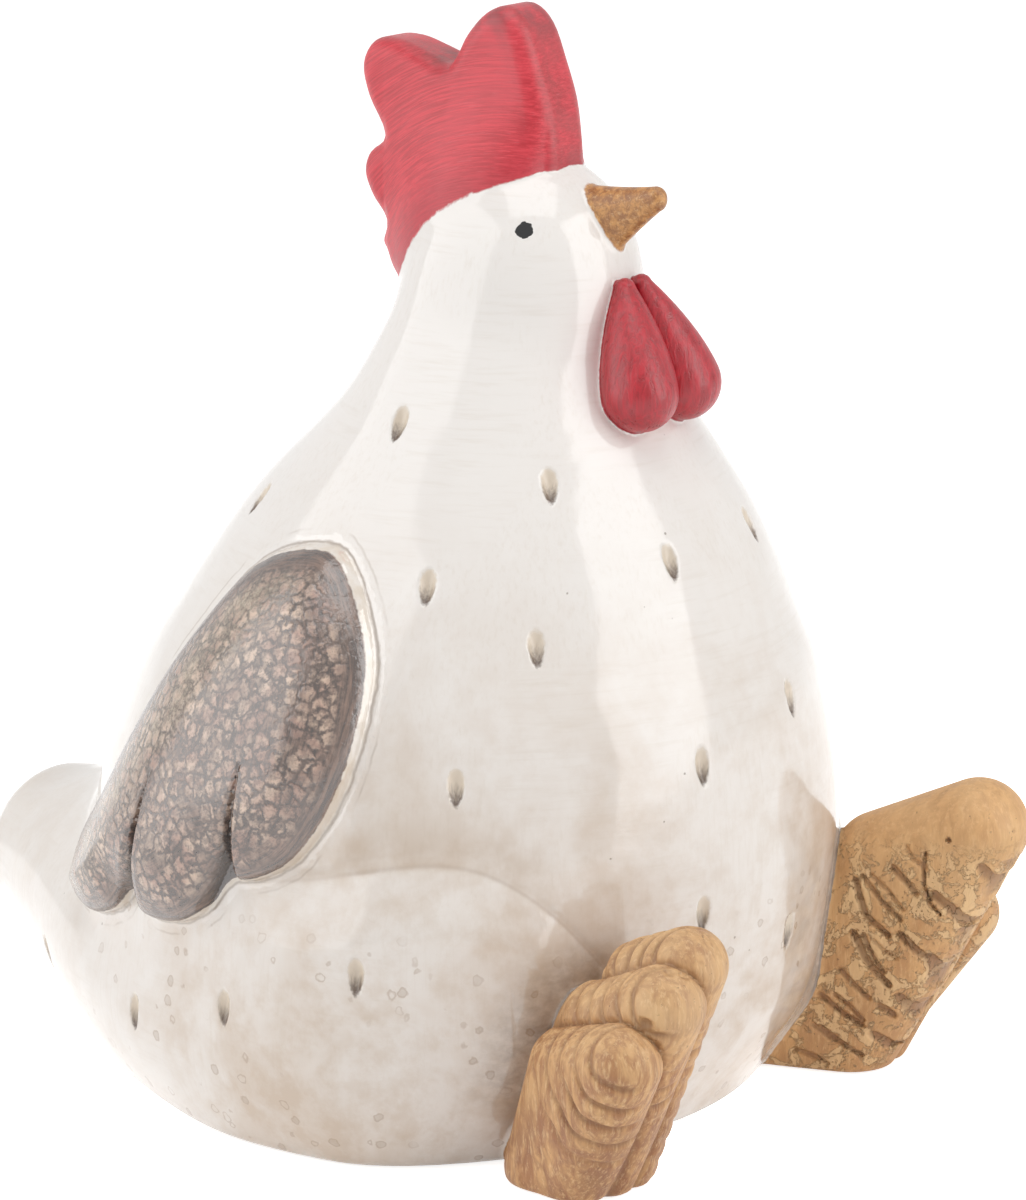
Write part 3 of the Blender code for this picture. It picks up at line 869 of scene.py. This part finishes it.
def cut_piece(name, chosen, points, faces, normals, layers):
    """One object of the chosen faces, with its own points, normals and layers of measures."""
    used, own = np.unique(faces[chosen], return_inverse=True)
    mesh = bpy.data.meshes.new(name)
    mesh.from_pydata(points[used] * MM, [], own.reshape(-1, 3).tolist())
    for layer_name, values in layers.items():
        layer = mesh.attributes.new(layer_name, "FLOAT", "POINT")
        layer.data.foreach_set("value", np.clip(values[used], -FAR, FAR).astype(np.float32))
    mesh.shade_smooth()
    mesh.normals_split_custom_set_from_vertices(normals[used])
    piece = bpy.data.objects.new(name, mesh)
    bpy.context.collection.objects.link(piece)
    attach(piece, "root")
    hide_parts("hen")
    return piece


def skin_pieces():
    """The hen's skin, cut into a body and the pieces that have paint of their own."""
    mesh = thinned(grown_mesh("hen_skin", *skin_surface()), SKIN_TRIANGLES)
    flat = np.empty(len(mesh.vertices) * 3)
    mesh.vertices.foreach_get("co", flat)
    points = flat.reshape(-1, 3) / MM
    corners = np.empty(len(mesh.loops), np.int64)
    mesh.loops.foreach_get("vertex_index", corners)
    faces = corners.reshape(-1, 3)
    points -= normals_at(points) * np.clip(hen(points), -0.5, 0.5)[:, None]
    normals = normals_at(points)
    layers = paint_measures(points, measures(points))
    left = np.ones(len(faces), bool)
    made = {}
    for name, measure, side in PIECES:
        near = layers[measure][faces].min(axis=1) < PAINT_MARGIN
        on_side = points[faces[:, 0], 0] * side >= 0
        chosen = left & near & on_side
        left &= ~chosen
        made[name] = cut_piece(name, chosen, points, faces, normals, layers)
    made["hen_body"] = cut_piece("hen_body", left, points, faces, normals, layers)
    return made


def tone(red, green, blue):
    """A colour as a picture shows it, from 0 to 255, as light."""
    made = []
    for part in (red, green, blue):
        share = part / 255
        made.append(share / 12.92 if share < 0.04045 else ((share + 0.055) / 1.055) ** 2.4)
    return tuple(made)


class Paint:
    """A material, and short ways to add nodes to it. Lengths are in mm, colours from 0 to 255."""

    def __init__(self, name):
        self.material = bpy.data.materials.new(name)
        self.material.use_nodes = True
        self.tree = self.material.node_tree
        self.shader = self.tree.nodes["Principled BSDF"]
        own = self.node("ShaderNodeTexCoord").outputs["Object"]
        self.place = self.vector("SCALE", own, scale=1 / MM)
        split = self.node("ShaderNodeSeparateXYZ", {0: self.place})
        self.x, self.y, self.z = split.outputs

    def node(self, kind, inputs=None, **settings):
        """A new node with its settings, and its inputs set or linked."""
        made = self.tree.nodes.new(kind)
        for name, value in settings.items():
            setattr(made, name, value)
        for name, value in (inputs or {}).items():
            self.join(value, made.inputs[name])
        return made

    def join(self, value, socket):
        """Links an output to the socket, or sets the socket to a value or colour."""
        if isinstance(value, bpy.types.NodeSocket):
            self.tree.links.new(value, socket)
        elif socket.type == "RGBA":
            socket.default_value = (*tone(*value), 1.0)
        else:
            socket.default_value = value

    def vector(self, operation, first, second=(1, 1, 1), scale=1.0):
        """One step of vector maths."""
        inputs = {0: first, 1: second, 3: scale}
        return self.node("ShaderNodeVectorMath", inputs, operation=operation).outputs[0]

    def place_of(self, x, y, z):
        """The place with these coordinates."""
        return self.node("ShaderNodeCombineXYZ", {0: x, 1: y, 2: z}).outputs[0]

    def sum(self, operation, first, second=0.0, third=0.0):
        """One step of maths with numbers."""
        inputs = {0: first, 1: second, 2: third}
        return self.node("ShaderNodeMath", inputs, operation=operation).outputs[0]

    def times(self, *values):
        """The product of these values."""
        made = values[0]
        for value in values[1:]:
            made = self.sum("MULTIPLY", made, value)
        return made

    def diagonal(self, first, second):
        """The length of the diagonal over two sides."""
        squares = [self.sum("POWER", side, 2.0) for side in (first, second)]
        return self.sum("SQRT", self.sum("ADD", *squares))

    def measure(self, name):
        """One of the skin's measures."""
        return self.node("ShaderNodeAttribute", attribute_name=name).outputs["Fac"]

    def rise(self, value, low, high, start=0.0, end=1.0):
        """A smooth step from start at low to end at high."""
        inputs = {0: value, 1: low, 2: high, 3: start, 4: end}
        return self.node("ShaderNodeMapRange", inputs, interpolation_type="SMOOTHSTEP").outputs[0]

    def bell(self, value, middle, half):
        """1 where the value is at the middle, and down to 0 at this distance from it."""
        off = self.sum("ABSOLUTE", self.sum("SUBTRACT", value, middle))
        return self.rise(off, half, 0.0)

    def noise(self, size, detail=2.0, rough=0.5, twist=0.0, place=None):
        """Soft noise with blotches of this size, or of these sizes along x, y and z."""
        place = place or self.place
        if isinstance(size, tuple):
            place = self.vector("DIVIDE", place, size)
            size = 1.0
        inputs = {"Vector": place, "Scale": 1 / size}
        inputs |= {"Detail": detail, "Roughness": rough, "Distortion": twist}
        return self.node("ShaderNodeTexNoise", inputs).outputs["Fac"]

    def patches(self, size, detail, low, high, start=0.0, end=1.0, **more):
        """Noise that rises from start at low to end at high."""
        return self.rise(self.noise(size, detail, **more), low, high, start, end)

    def uneven(self, value, reach, back, *noise):
        """The value, made uneven by noise over this reach and set back by this much."""
        return self.sum("MULTIPLY_ADD", self.noise(*noise), reach, self.sum("ADD", value, -back))

    def warped(self, size, reach):
        """The place, moved about by noise of this size."""
        inputs = {"Vector": self.place, "Scale": 1 / size, "Detail": 2.0}
        moved = self.node("ShaderNodeTexNoise", inputs).outputs["Color"]
        moved = self.vector("SUBTRACT", moved, (0.5, 0.5, 0.5))
        return self.vector("ADD", self.place, self.vector("SCALE", moved, scale=reach))

    def cells(self, size, place=None, feature="F1"):
        """Cells of this size: the distance in millimetres and each cell's chance number."""
        inputs = {"Vector": place or self.place, "Scale": 1 / size}
        made = self.node("ShaderNodeTexVoronoi", inputs, feature=feature)
        distance = self.times(made.outputs["Distance"], size)
        if feature == "DISTANCE_TO_EDGE":
            return distance, None
        chance = self.node("ShaderNodeSeparateColor", {0: made.outputs["Color"]})
        return distance, chance.outputs[0]

    def mix(self, share, first, second):
        """A blend of two colours."""
        made = self.node("ShaderNodeMix", {0: share, 6: first, 7: second}, data_type="RGBA")
        return made.outputs[2]

    def lay(self, under, colour, *shares):
        """One colour laid over another, as thickly as the product of these shares says."""
        return self.mix(self.times(*shares), under, colour)

    def between(self, share, first, second):
        """A blend of two numbers."""
        made = self.node("ShaderNodeMix", {0: share, 2: first, 3: second}, data_type="FLOAT")
        return made.outputs[0]

    def over(self, share, top, under):
        """One layer over another: colour, roughness and height of each."""
        numbers = [self.between(share, under[i], top[i]) for i in (1, 2)]
        return self.mix(share, under[0], top[0]), *numbers

    def finish(self, layer, gloss):
        """Puts a layer on the shader, with this refractive index."""
        colour, rough, height = layer
        self.join(colour, self.shader.inputs["Base Color"])
        self.join(rough, self.shader.inputs["Roughness"])
        relief = self.node("ShaderNodeBump", {"Height": height, "Distance": MM, "Strength": 1.0})
        self.join(relief.outputs["Normal"], self.shader.inputs["Normal"])
        self.shader.inputs["IOR"].default_value = gloss
        return self.material


GLAZE_IOR = 1.6
WING_IOR = 2.0

GLAZE_WHITE, GLAZE_STAIN, GLAZE_STROKES = (242, 237, 232), (210, 191, 172), (206, 190, 170)
# The second colour here is the tan of the painted shade above each thigh
TAIL_WASH, THIGH_SHADE, THIGH_LINE = (224, 208, 190), (186, 160, 132), (150, 122, 96)
RING, RING_INSIDE, PINHOLE = (160, 128, 98), (160, 134, 108), (120, 98, 80)
# The first colour darkens the corner behind each foot
FOOT_CORNER_DARK, FOOT_LINE = (122, 100, 82), (86, 66, 50)
WING_WALL, WING_LINE, WING_HALO = (216, 198, 174), (128, 104, 82), (150, 128, 106)
DENT_TOP, DENT_END, EYE_BLACK = (222, 208, 190), (96, 78, 66), (14, 13, 14)
CLAY_LIGHT, CLAY_DARK = (206, 190, 168), (184, 164, 140)


def glaze(paint):
    """The off-white glaze, stained towards the bottom, with painted shade above the thighs, darker
    corners behind the feet, and its dents and eyes.
    """
    low = paint.times(paint.rise(paint.z, 190, 20), paint.rise(paint.y, 70, 0, 0.4, 1.0))
    patches = paint.patches(34, 4, 0.40, 0.66, rough=0.6, twist=0.5)
    cloud = paint.patches(9, 5, 0.38, 0.68, rough=0.65)
    blotches = paint.sum("MULTIPLY_ADD", patches, 0.5, paint.times(cloud, 0.32))
    colour = paint.lay(GLAZE_WHITE, GLAZE_STAIN, low, paint.sum("ADD", blotches, 0.26))
    upright = paint.noise((1.1, 1.1, 13), 3, 0.6)
    level = paint.noise((16, 16, 1.3), 3, 0.6)
    strokes = paint.between(paint.patches(30, 1, 0.45, 0.55), upright, level)
    colour = paint.lay(colour, GLAZE_STROKES, paint.rise(strokes, 0.45, 0.8, 0.0, 0.16))
    tail = paint.rise(paint.y, 95, 158)
    colour = paint.lay(colour, TAIL_WASH, tail, paint.patches(12, 4, 0.3, 0.7, 0.05, 0.25))

    # Painted shade: a tan band above the thigh's border, darkening the body as if shaded above the
    # swelling, and a thin line along the border
    thigh = paint.measure("thigh")
    marked = paint.measure("thigh_strength")
    beside = paint.times(paint.rise(thigh, 19, 0.5), paint.rise(thigh, -2.0, 0.5))
    thigh_shade = paint.times(beside, paint.patches(10, 4, 0.3, 0.7, 0.3, 1.0))
    colour = paint.lay(colour, THIGH_SHADE, thigh_shade, marked, 0.45)
    colour = paint.lay(colour, THIGH_LINE, paint.bell(thigh, -0.3, 0.9), marked, 0.18)

    # Faint rings that drops have left, low on the flanks
    spread, chance = paint.cells(4.8, paint.warped(2.4, 2.0))
    flank = paint.times(paint.rise(paint.z, 70, 48), paint.rise(paint.y, 90, 55))
    flank = paint.times(flank, paint.patches(26, 1, 0.36, 0.52))
    ringed = paint.times(paint.bell(spread, 1.2, 0.34), paint.rise(chance, 0.5, 0.52))
    inside = paint.times(paint.rise(spread, 1.3, 1.0), paint.rise(chance, 0.70, 0.72))
    colour = paint.lay(colour, RING, ringed, flank, 0.42)
    colour = paint.lay(colour, RING_INSIDE, inside, flank, 0.28)

    # Pinholes and specks
    dot, chance = paint.cells(7.0)
    specks = paint.times(paint.rise(dot, 0.42, 0.2), paint.rise(chance, 0.80, 0.82))
    colour = paint.lay(colour, PINHOLE, specks, 0.6)

    # Darker, brownish and blotchy in the corner behind each foot, and a thin line round it
    foot = paint.measure("foot")
    upper = paint.times(paint.rise(paint.z, 12, 26), paint.rise(paint.z, 66, 50))
    behind = paint.times(paint.rise(paint.y, -92, -76), upper)
    corner_blotches = paint.patches((4, 4, 2.6), 5, 0.25, 0.75, 0.35, 1.0, rough=0.62, twist=0.3)
    colour = paint.lay(colour, FOOT_CORNER_DARK, paint.rise(foot, 17, 0.5), behind, corner_blotches, 0.6)
    line = paint.times(paint.bell(foot, 0.6, 1.0), paint.rise(paint.z, 14, 26))
    colour = paint.lay(colour, FOOT_LINE, line, 0.55)

    # Lines round the wings
    edge = paint.uneven(paint.measure("wing_edge"), 1.2, 0.6, 5, 3)
    wall = paint.patches((3, 3, 9), 3, 0.35, 0.65, 0.3, 0.85)
    colour = paint.lay(colour, WING_WALL, paint.rise(edge, 1.2, 0.0), wall, 0.7)
    colour = paint.lay(colour, WING_LINE, paint.bell(edge, 0.6, 0.55), 0.55)
    halo = paint.times(paint.bell(edge, 3.4, 0.5), paint.patches(14, 2, 0.45, 0.6))
    colour = paint.lay(colour, WING_HALO, halo, 0.3)

    wave = paint.times(paint.noise(11, 1), 0.16)
    skin = paint.times(paint.noise(1.7, 3, 0.6), 0.014)
    height = paint.sum("ADD", wave, paint.sum("MULTIPLY_ADD", strokes, 0.022, skin))
    height = paint.sum("MULTIPLY_ADD", specks, -0.12, height)
    rough = paint.sum("MULTIPLY_ADD", cloud, 0.05, 0.07)
    layer = (colour, rough, height)

    # Dents: light brown above, dark at the lower end
    rim = paint.uneven(paint.measure("dent"), 0.35, 0.17, 1.0, 3)
    shade = paint.uneven(paint.measure("dent_down"), 0.7, 0.35, (0.5, 0.5, 3), 2)
    pit = paint.lay(DENT_TOP, DENT_END, paint.rise(shade, -0.3, 0.8))
    layer = paint.over(paint.rise(rim, 1.0, 0.72), (pit, 0.35, height), layer)
    blob = paint.uneven(paint.measure("eye"), 1.3, 0.6, 1.3, 2)
    layer = paint.over(paint.rise(blob, 0.15, 0.0), (EYE_BLACK, 0.12, height), layer)

    # Bare clay underneath and in the pour hole
    from_vent = paint.diagonal(paint.sum("ADD", paint.y, -VENT_Y), paint.x)
    vent = paint.rise(from_vent, VENT_RADIUS + 1.5, VENT_RADIUS + 0.5)
    vent = paint.times(vent, paint.rise(paint.z, VENT_DEPTH + 2, VENT_DEPTH + 1))
    bare = paint.sum("MAXIMUM", vent, paint.rise(paint.z, 0.9, 0.3))
    clay = paint.lay(CLAY_LIGHT, CLAY_DARK, paint.noise(3, 4))
    return paint.over(bare, (clay, 0.8, paint.times(paint.noise(0.8, 4, 0.7), 0.1)), layer)


COMB_DARK, COMB_LIGHT, COMB_PALE = (184, 26, 42), (222, 62, 74), (224, 72, 84)
COMB_STROKES, COMB_RIDGE, COMB_BASE = (228, 118, 126), (160, 24, 40), (164, 26, 42)
COMB_SMUDGE, COMB_RIM = (108, 52, 54), (120, 66, 62)
# Middle of the brushed arcs, as y and z, and the notch between the comb's two peaks
ARC_MIDDLE = (-12.0, 185.0)
COMB_NOTCH = (0, 11, 257)


def comb_paint(paint):
    """Red paint, brushed in arcs, with dark smudges in the notches and along the ridge."""
    along = paint.sum("ADD", paint.y, -ARC_MIDDLE[0])
    up = paint.sum("ADD", paint.z, -ARC_MIDDLE[1])
    reach, turn = paint.diagonal(up, along), paint.sum("ARCTAN2", up, along)
    arcs = [paint.times(reach, 1.9), paint.times(turn, 4.5), paint.times(paint.x, 0.5)]
    arcs = paint.place_of(*arcs)
    strokes = paint.noise(1.0, 4, 0.65, 0.4, arcs)
    colour = paint.lay(COMB_DARK, COMB_LIGHT, paint.rise(strokes, 0.34, 0.7))
    colour = paint.lay(colour, COMB_PALE, paint.patches(17, 2, 0.42, 0.62, 0.0, 0.3))
    fine = paint.patches(0.8, 4, 0.58, 0.72, rough=0.7, twist=0.4, place=arcs)
    colour = paint.lay(colour, COMB_STROKES, fine, 0.3)
    edge = paint.measure("comb_edge")
    ridge = paint.times(paint.bell(edge, -5.6, 3.0), paint.patches(7, 3, 0.35, 0.65, 0.15, 0.8))
    colour = paint.lay(colour, COMB_RIDGE, ridge, paint.rise(paint.y, 8, -6, 0.35, 1.0), 0.2)
    colour = paint.lay(colour, COMB_BASE, paint.rise(paint.measure("trunk"), 6.5, 0.5), 0.5)
    from_notch = paint.vector("SUBTRACT", paint.place, COMB_NOTCH)
    away = paint.node("ShaderNodeVectorMath", {0: from_notch}, operation="LENGTH").outputs["Value"]
    smudge = paint.times(paint.rise(away, 13, 2), paint.patches(3, 4, 0.3, 0.7, 0.3, 1.0))
    crown = paint.times(paint.rise(paint.z, 260, 272), paint.patches(5, 4, 0.35, 0.65), 0.9)
    colour = paint.lay(colour, COMB_SMUDGE, paint.sum("MAXIMUM", smudge, crown), 0.7)
    rim = paint.times(paint.rise(edge, -1.6, -0.2), paint.patches(6, 3, 0.35, 0.6, 0.2, 1.0))
    colour = paint.lay(colour, COMB_RIM, rim, 0.28)
    height = paint.sum("MULTIPLY_ADD", strokes, 0.10, paint.times(paint.noise(9, 2), 0.25))
    return colour, paint.rise(strokes, 0.3, 0.8, 0.36, 0.48), height


BEAK_OCHRE, BEAK_SAND = (152, 98, 50), (208, 152, 90)
BEAK_LIGHT, BEAK_DARK = (228, 190, 140), (118, 76, 42)


def beak_paint(paint):
    """Ochre paint, worn light and dark in flecks."""
    flecks = paint.noise(1.9, 5, 0.7, 0.2)
    colour = paint.lay(BEAK_OCHRE, BEAK_SAND, paint.rise(flecks, 0.36, 0.66))
    colour = paint.lay(colour, BEAK_LIGHT, paint.patches(1.1, 4, 0.54, 0.66, rough=0.7), 0.5)
    colour = paint.lay(colour, BEAK_DARK, paint.patches(3.2, 4, 0.58, 0.72, rough=0.7), 0.4)
    return colour, paint.rise(flecks, 0.3, 0.7, 0.3, 0.46), paint.times(flecks, 0.22)


WATTLE_RED, WATTLE_LIGHT = (168, 12, 28), (206, 28, 46)
WATTLE_PALE, WATTLE_EDGE = (216, 76, 88), (110, 20, 32)


def wattle_paint(paint):
    """Red paint, glossier than on the comb and darker in streaks."""
    streaks = paint.noise((1.6, 1.6, 9), 4, 0.65, 0.8)
    colour = paint.lay(WATTLE_RED, WATTLE_LIGHT, paint.rise(streaks, 0.36, 0.66))
    colour = paint.lay(colour, WATTLE_PALE, paint.patches(4.5, 4, 0.52, 0.72, rough=0.6), 0.28)
    colour = paint.lay(colour, WATTLE_EDGE, paint.rise(paint.measure("wattle"), -0.6, 0.4), 0.4)
    return colour, paint.rise(streaks, 0.3, 0.7, 0.26, 0.4), paint.times(streaks, 0.25)


WING_BROWN, WING_STREAKS = (66, 48, 40), (128, 100, 84)
HATCH_DARK, HATCH_LIGHT = (140, 120, 98), (222, 204, 176)
CELL_DARK, CELL_LIGHT = (182, 142, 124), (224, 194, 170)
SEAM_BROWN, GROOVE_BROWN = (52, 38, 32), (44, 34, 32)


def wing_paint(paint):
    """Brown glaze that has run into light cells with dark seams, over dark brushed borders."""
    edge = paint.measure("wing_edge")
    lines = [paint.times(edge, 1.6), paint.times(paint.y, 0.12), paint.times(paint.z, 0.12)]
    lines = paint.place_of(*lines)
    streaks = paint.noise(1.0, 4, 0.65, 0.3, lines)
    colour = paint.lay(WING_BROWN, WING_STREAKS, paint.rise(streaks, 0.35, 0.68))
    across = paint.sum("MULTIPLY_ADD", paint.y, 0.79, paint.times(paint.z, 0.61))
    strokes = paint.patches((2, 1.2, 0.9), 4, 0.36, 0.66, rough=0.7, twist=1.0)
    hatch = paint.lay(HATCH_DARK, HATCH_LIGHT, strokes)
    colour = paint.lay(colour, hatch, paint.rise(across, 82, 96), paint.rise(edge, -3.5, -8), 0.75)
    seam, _ = paint.cells(3.7, paint.warped(1.5, 2.4), "DISTANCE_TO_EDGE")
    small, _ = paint.cells(1.8, paint.warped(1.2, 1.4))
    cell = paint.sum("MAXIMUM", paint.rise(seam, 0.0, 0.8), paint.rise(small, 1.0, 0.3, 0.0, 0.6))
    cell = paint.times(cell, paint.patches(1.5, 5, 0.3, 0.6, 0.3, 1.0, rough=0.7))
    shown = paint.times(paint.rise(edge, -2, -7), paint.patches(9, 3, 0.3, 0.55, 0.3, 0.9))
    tint = paint.lay(CELL_DARK, CELL_LIGHT, paint.patches(7, 3, 0.35, 0.65))
    colour = paint.lay(colour, tint, cell, shown, 0.95)
    colour = paint.lay(colour, SEAM_BROWN, paint.sum("SUBTRACT", 1.0, cell), shown, 0.7)
    colour = paint.lay(colour, GROOVE_BROWN, paint.rise(paint.measure("groove"), 0.5, 3.2), 0.75)
    height = paint.sum("MULTIPLY_ADD", cell, 0.05, paint.times(paint.noise(10, 2), 0.2))
    return colour, paint.sum("MULTIPLY_ADD", streaks, 0.06, 0.14), height


FOOT_OCHRE, FOOT_SAND, FOOT_PADS = (160, 106, 62), (214, 168, 116), (226, 188, 140)
FOOT_DARK, FOOT_GRAIN, FOOT_SPECKS = (134, 84, 50), (238, 204, 156), (112, 74, 44)
# The first colour is painted light laid over the whole left foot; the second is its peeled flakes
LEFT_FOOT_PAINTED_LIGHT, FLAKES = (238, 186, 124), (248, 212, 160)
CREASE_BROWN, PIT_BROWN = (126, 86, 56), (62, 44, 34)


def foot_paint(paint):
    """Ochre paint, brushed like grain, with light pads, dark creases and flakes, and painted light
    over the whole left foot.
    """
    grain = paint.noise((2.0, 3.0, 12), 4, 0.6, 0.6)
    colour = paint.lay(FOOT_OCHRE, FOOT_SAND, paint.rise(grain, 0.34, 0.68))
    pads = paint.times(paint.rise(paint.z, 34, 56), paint.patches(9, 3, 0.3, 0.7, 0.4, 1.0))
    colour = paint.lay(colour, FOOT_PADS, pads, 0.6)
    shade = paint.patches(11, 4, 0.34, 0.62, rough=0.6, twist=0.6)
    colour = paint.lay(colour, FOOT_DARK, paint.rise(paint.z, 44, 4), shade, 0.72)
    fine = paint.patches((0.6, 1.0, 6), 4, 0.5, 0.66, rough=0.7, twist=0.3)
    colour = paint.lay(colour, FOOT_GRAIN, fine, 0.45)
    on_left = paint.rise(paint.x, -1, 1)
    flakes = paint.patches(6, 7, 0.50, 0.54, rough=0.72, twist=0.4)
    peeled = paint.times(flakes, on_left, paint.rise(paint.z, 70, 55))
    # Painted light: the whole left foot is lightened, as if it were lit more brightly
    colour = paint.lay(colour, LEFT_FOOT_PAINTED_LIGHT, on_left, 0.4)
    colour = paint.lay(colour, FLAKES, peeled, 0.5)
    carved = paint.measure("carved")
    colour = paint.lay(colour, CREASE_BROWN, paint.rise(carved, 0.1, 1.0, 0.0, 0.6))
    colour = paint.lay(colour, PIT_BROWN, paint.rise(carved, 1.6, 2.3, 0.0, 0.7))
    colour = paint.lay(colour, FOOT_SPECKS, paint.patches(1.4, 3, 0.66, 0.74, rough=0.6), 0.6)
    height = paint.sum("MULTIPLY_ADD", peeled, 0.3, paint.times(grain, 0.28))
    return colour, paint.rise(grain, 0.3, 0.7, 0.5, 0.64), height


# Each paint, the measure that it ends at, how far from 0 its ragged border lies, and its gloss
PAINTS = {
    "hen_comb": (comb_paint, "comb", 0.5, GLAZE_IOR),
    "hen_beak": (beak_paint, "beak", 0.3, GLAZE_IOR),
    "hen_wattles": (wattle_paint, "wattle", 0.4, GLAZE_IOR),
    "hen_wing_right": (wing_paint, "wing_edge", -0.7, WING_IOR),
    "hen_wing_left": (wing_paint, "wing_edge", -0.7, WING_IOR),
    "hen_foot_right": (foot_paint, "foot", 0.5, GLAZE_IOR),
    "hen_foot_left": (foot_paint, "foot", 0.5, GLAZE_IOR),
}
# Half the width over which a paint's border fades
BORDER_FADE = 0.12


def painted(name):
    """The material of one piece of the skin."""
    paint = Paint(name)
    layer, gloss = glaze(paint), GLAZE_IOR
    if name in PAINTS:
        make, measure, border, gloss = PAINTS[name]
        ragged = paint.uneven(paint.measure(measure), 0.44, 0.22, 2.2, 3, 0.6)
        covered = paint.rise(ragged, border + BORDER_FADE, border - BORDER_FADE)
        layer = paint.over(covered, make(paint), layer)
    return paint.finish(layer, gloss)


# The photograph's view: direction, distance, what it looks at, and the focal length over 1200 px
VIEW_AZIMUTH = -54.0
VIEW_ELEVATION = 14.0
VIEW_DISTANCE = 1300.0
VIEW_TARGET = (0.0, 0.0, 122.0)
VIEW_FOCUS_PX = 5200.0
VIEW_OFFSET_PX = 13.0
FRAME_HEIGHT_PX = 1200.0
SENSOR = 36.0
# Soft boxes: azimuth, elevation, width and height in metres, power in watts
LIGHTS = {
    "right_box": (8, 20, 1.07, 1.8, 14),
    "left_box": (-130, 20, 1.96, 1.8, 15.5),
    "top_box": (-54, 78, 1.2, 1.2, 8),
}
LIGHT_DISTANCE = 1600.0
FLOOR_SIZE = 20.0
FLOOR_TONE = (0.95, 0.95, 0.95, 1)
# The floor's own light and the room's, as shares of white
FLOOR_GLOW = 0.82
ROOM_LIGHT = 0.29
WHITE = (1, 1, 1, 1)


def facing_hen(name, data, azimuth, elevation, distance, offset=0.0):
    """A camera or lamp that faces the hen, moved to its own right by the offset."""
    turn, lift = math.radians(azimuth), math.radians(elevation)
    out = math.cos(lift)
    back = Vector((math.sin(turn) * out, -math.cos(turn) * out, math.sin(lift)))
    right = Vector((math.cos(turn), math.sin(turn), 0))
    made = bpy.data.objects.new(name, data)
    made.location = (Vector(VIEW_TARGET) + right * offset + back * distance) * MM
    made.rotation_euler = back.to_track_quat("Z", "Y").to_euler()
    bpy.context.collection.objects.link(made)
    return made


def lights():
    """The soft boxes."""
    for name, (azimuth, elevation, wide, tall, power) in LIGHTS.items():
        data = bpy.data.lights.new(name, "AREA")
        data.shape = "RECTANGLE"
        data.size = wide
        data.size_y = tall
        data.energy = power
        facing_hen(name, data, azimuth, elevation, LIGHT_DISTANCE)


def camera():
    """The camera, at the photograph's angle."""
    data = bpy.data.cameras.new("camera")
    data.sensor_width = SENSOR
    data.lens = VIEW_FOCUS_PX / FRAME_HEIGHT_PX * SENSOR
    offset = VIEW_OFFSET_PX * VIEW_DISTANCE / VIEW_FOCUS_PX
    made = facing_hen("camera", data, VIEW_AZIMUTH, VIEW_ELEVATION, VIEW_DISTANCE, offset)
    bpy.context.scene.camera = made


def seen_rays(tree):
    """1 for rays that show the surroundings: the camera's, mirrored and through glass."""
    path = tree.nodes.new("ShaderNodeLightPath")
    seen = path.outputs["Is Camera Ray"]
    for kind in ("Is Glossy Ray", "Is Transmission Ray"):
        either = tree.nodes.new("ShaderNodeMath")
        either.operation = "MAXIMUM"
        tree.links.new(seen, either.inputs[0])
        tree.links.new(path.outputs[kind], either.inputs[1])
        seen = either.outputs[0]
    return seen


def floor():
    """A plain white floor."""
    mesh = bpy.data.meshes.new("floor")
    bm = bmesh.new()
    bmesh.ops.create_grid(bm, x_segments=1, y_segments=1, size=FLOOR_SIZE)
    bm.to_mesh(mesh)
    bm.free()
    ground = bpy.data.objects.new("floor", mesh)
    ground.location = (0, 0, -0.5 * MM)
    bpy.context.collection.objects.link(ground)
    paint = Paint("floor")
    paint.shader.inputs["Base Color"].default_value = FLOOR_TONE
    paint.shader.inputs["Roughness"].default_value = 0.9
    paint.shader.inputs["Specular IOR Level"].default_value = 0.0
    paint.shader.inputs["Emission Color"].default_value = WHITE
    glow = paint.times(seen_rays(paint.tree), FLOOR_GLOW)
    paint.join(glow, paint.shader.inputs["Emission Strength"])
    mesh.materials.append(paint.material)


def world():
    """White behind the hen and a soft grey room around it."""
    made = bpy.data.worlds.new("studio")
    bpy.context.scene.world = made
    made.use_nodes = True
    tree = made.node_tree
    seen, room = tree.nodes["Background"], tree.nodes.new("ShaderNodeBackground")
    for node, strength in ((seen, 1.0), (room, ROOM_LIGHT)):
        node.inputs["Color"].default_value = WHITE
        node.inputs["Strength"].default_value = strength
    pick = tree.nodes.new("ShaderNodeMixShader")
    tree.links.new(seen_rays(tree), pick.inputs[0])
    tree.links.new(room.outputs[0], pick.inputs[1])
    tree.links.new(seen.outputs[0], pick.inputs[2])
    tree.links.new(pick.outputs[0], tree.nodes["World Output"].inputs["Surface"])


bpy.context.scene.view_settings.view_transform = "Standard"
camera()
world()
floor()
lights()
for name, piece in skin_pieces().items():
    piece.data.materials.append(painted(name))
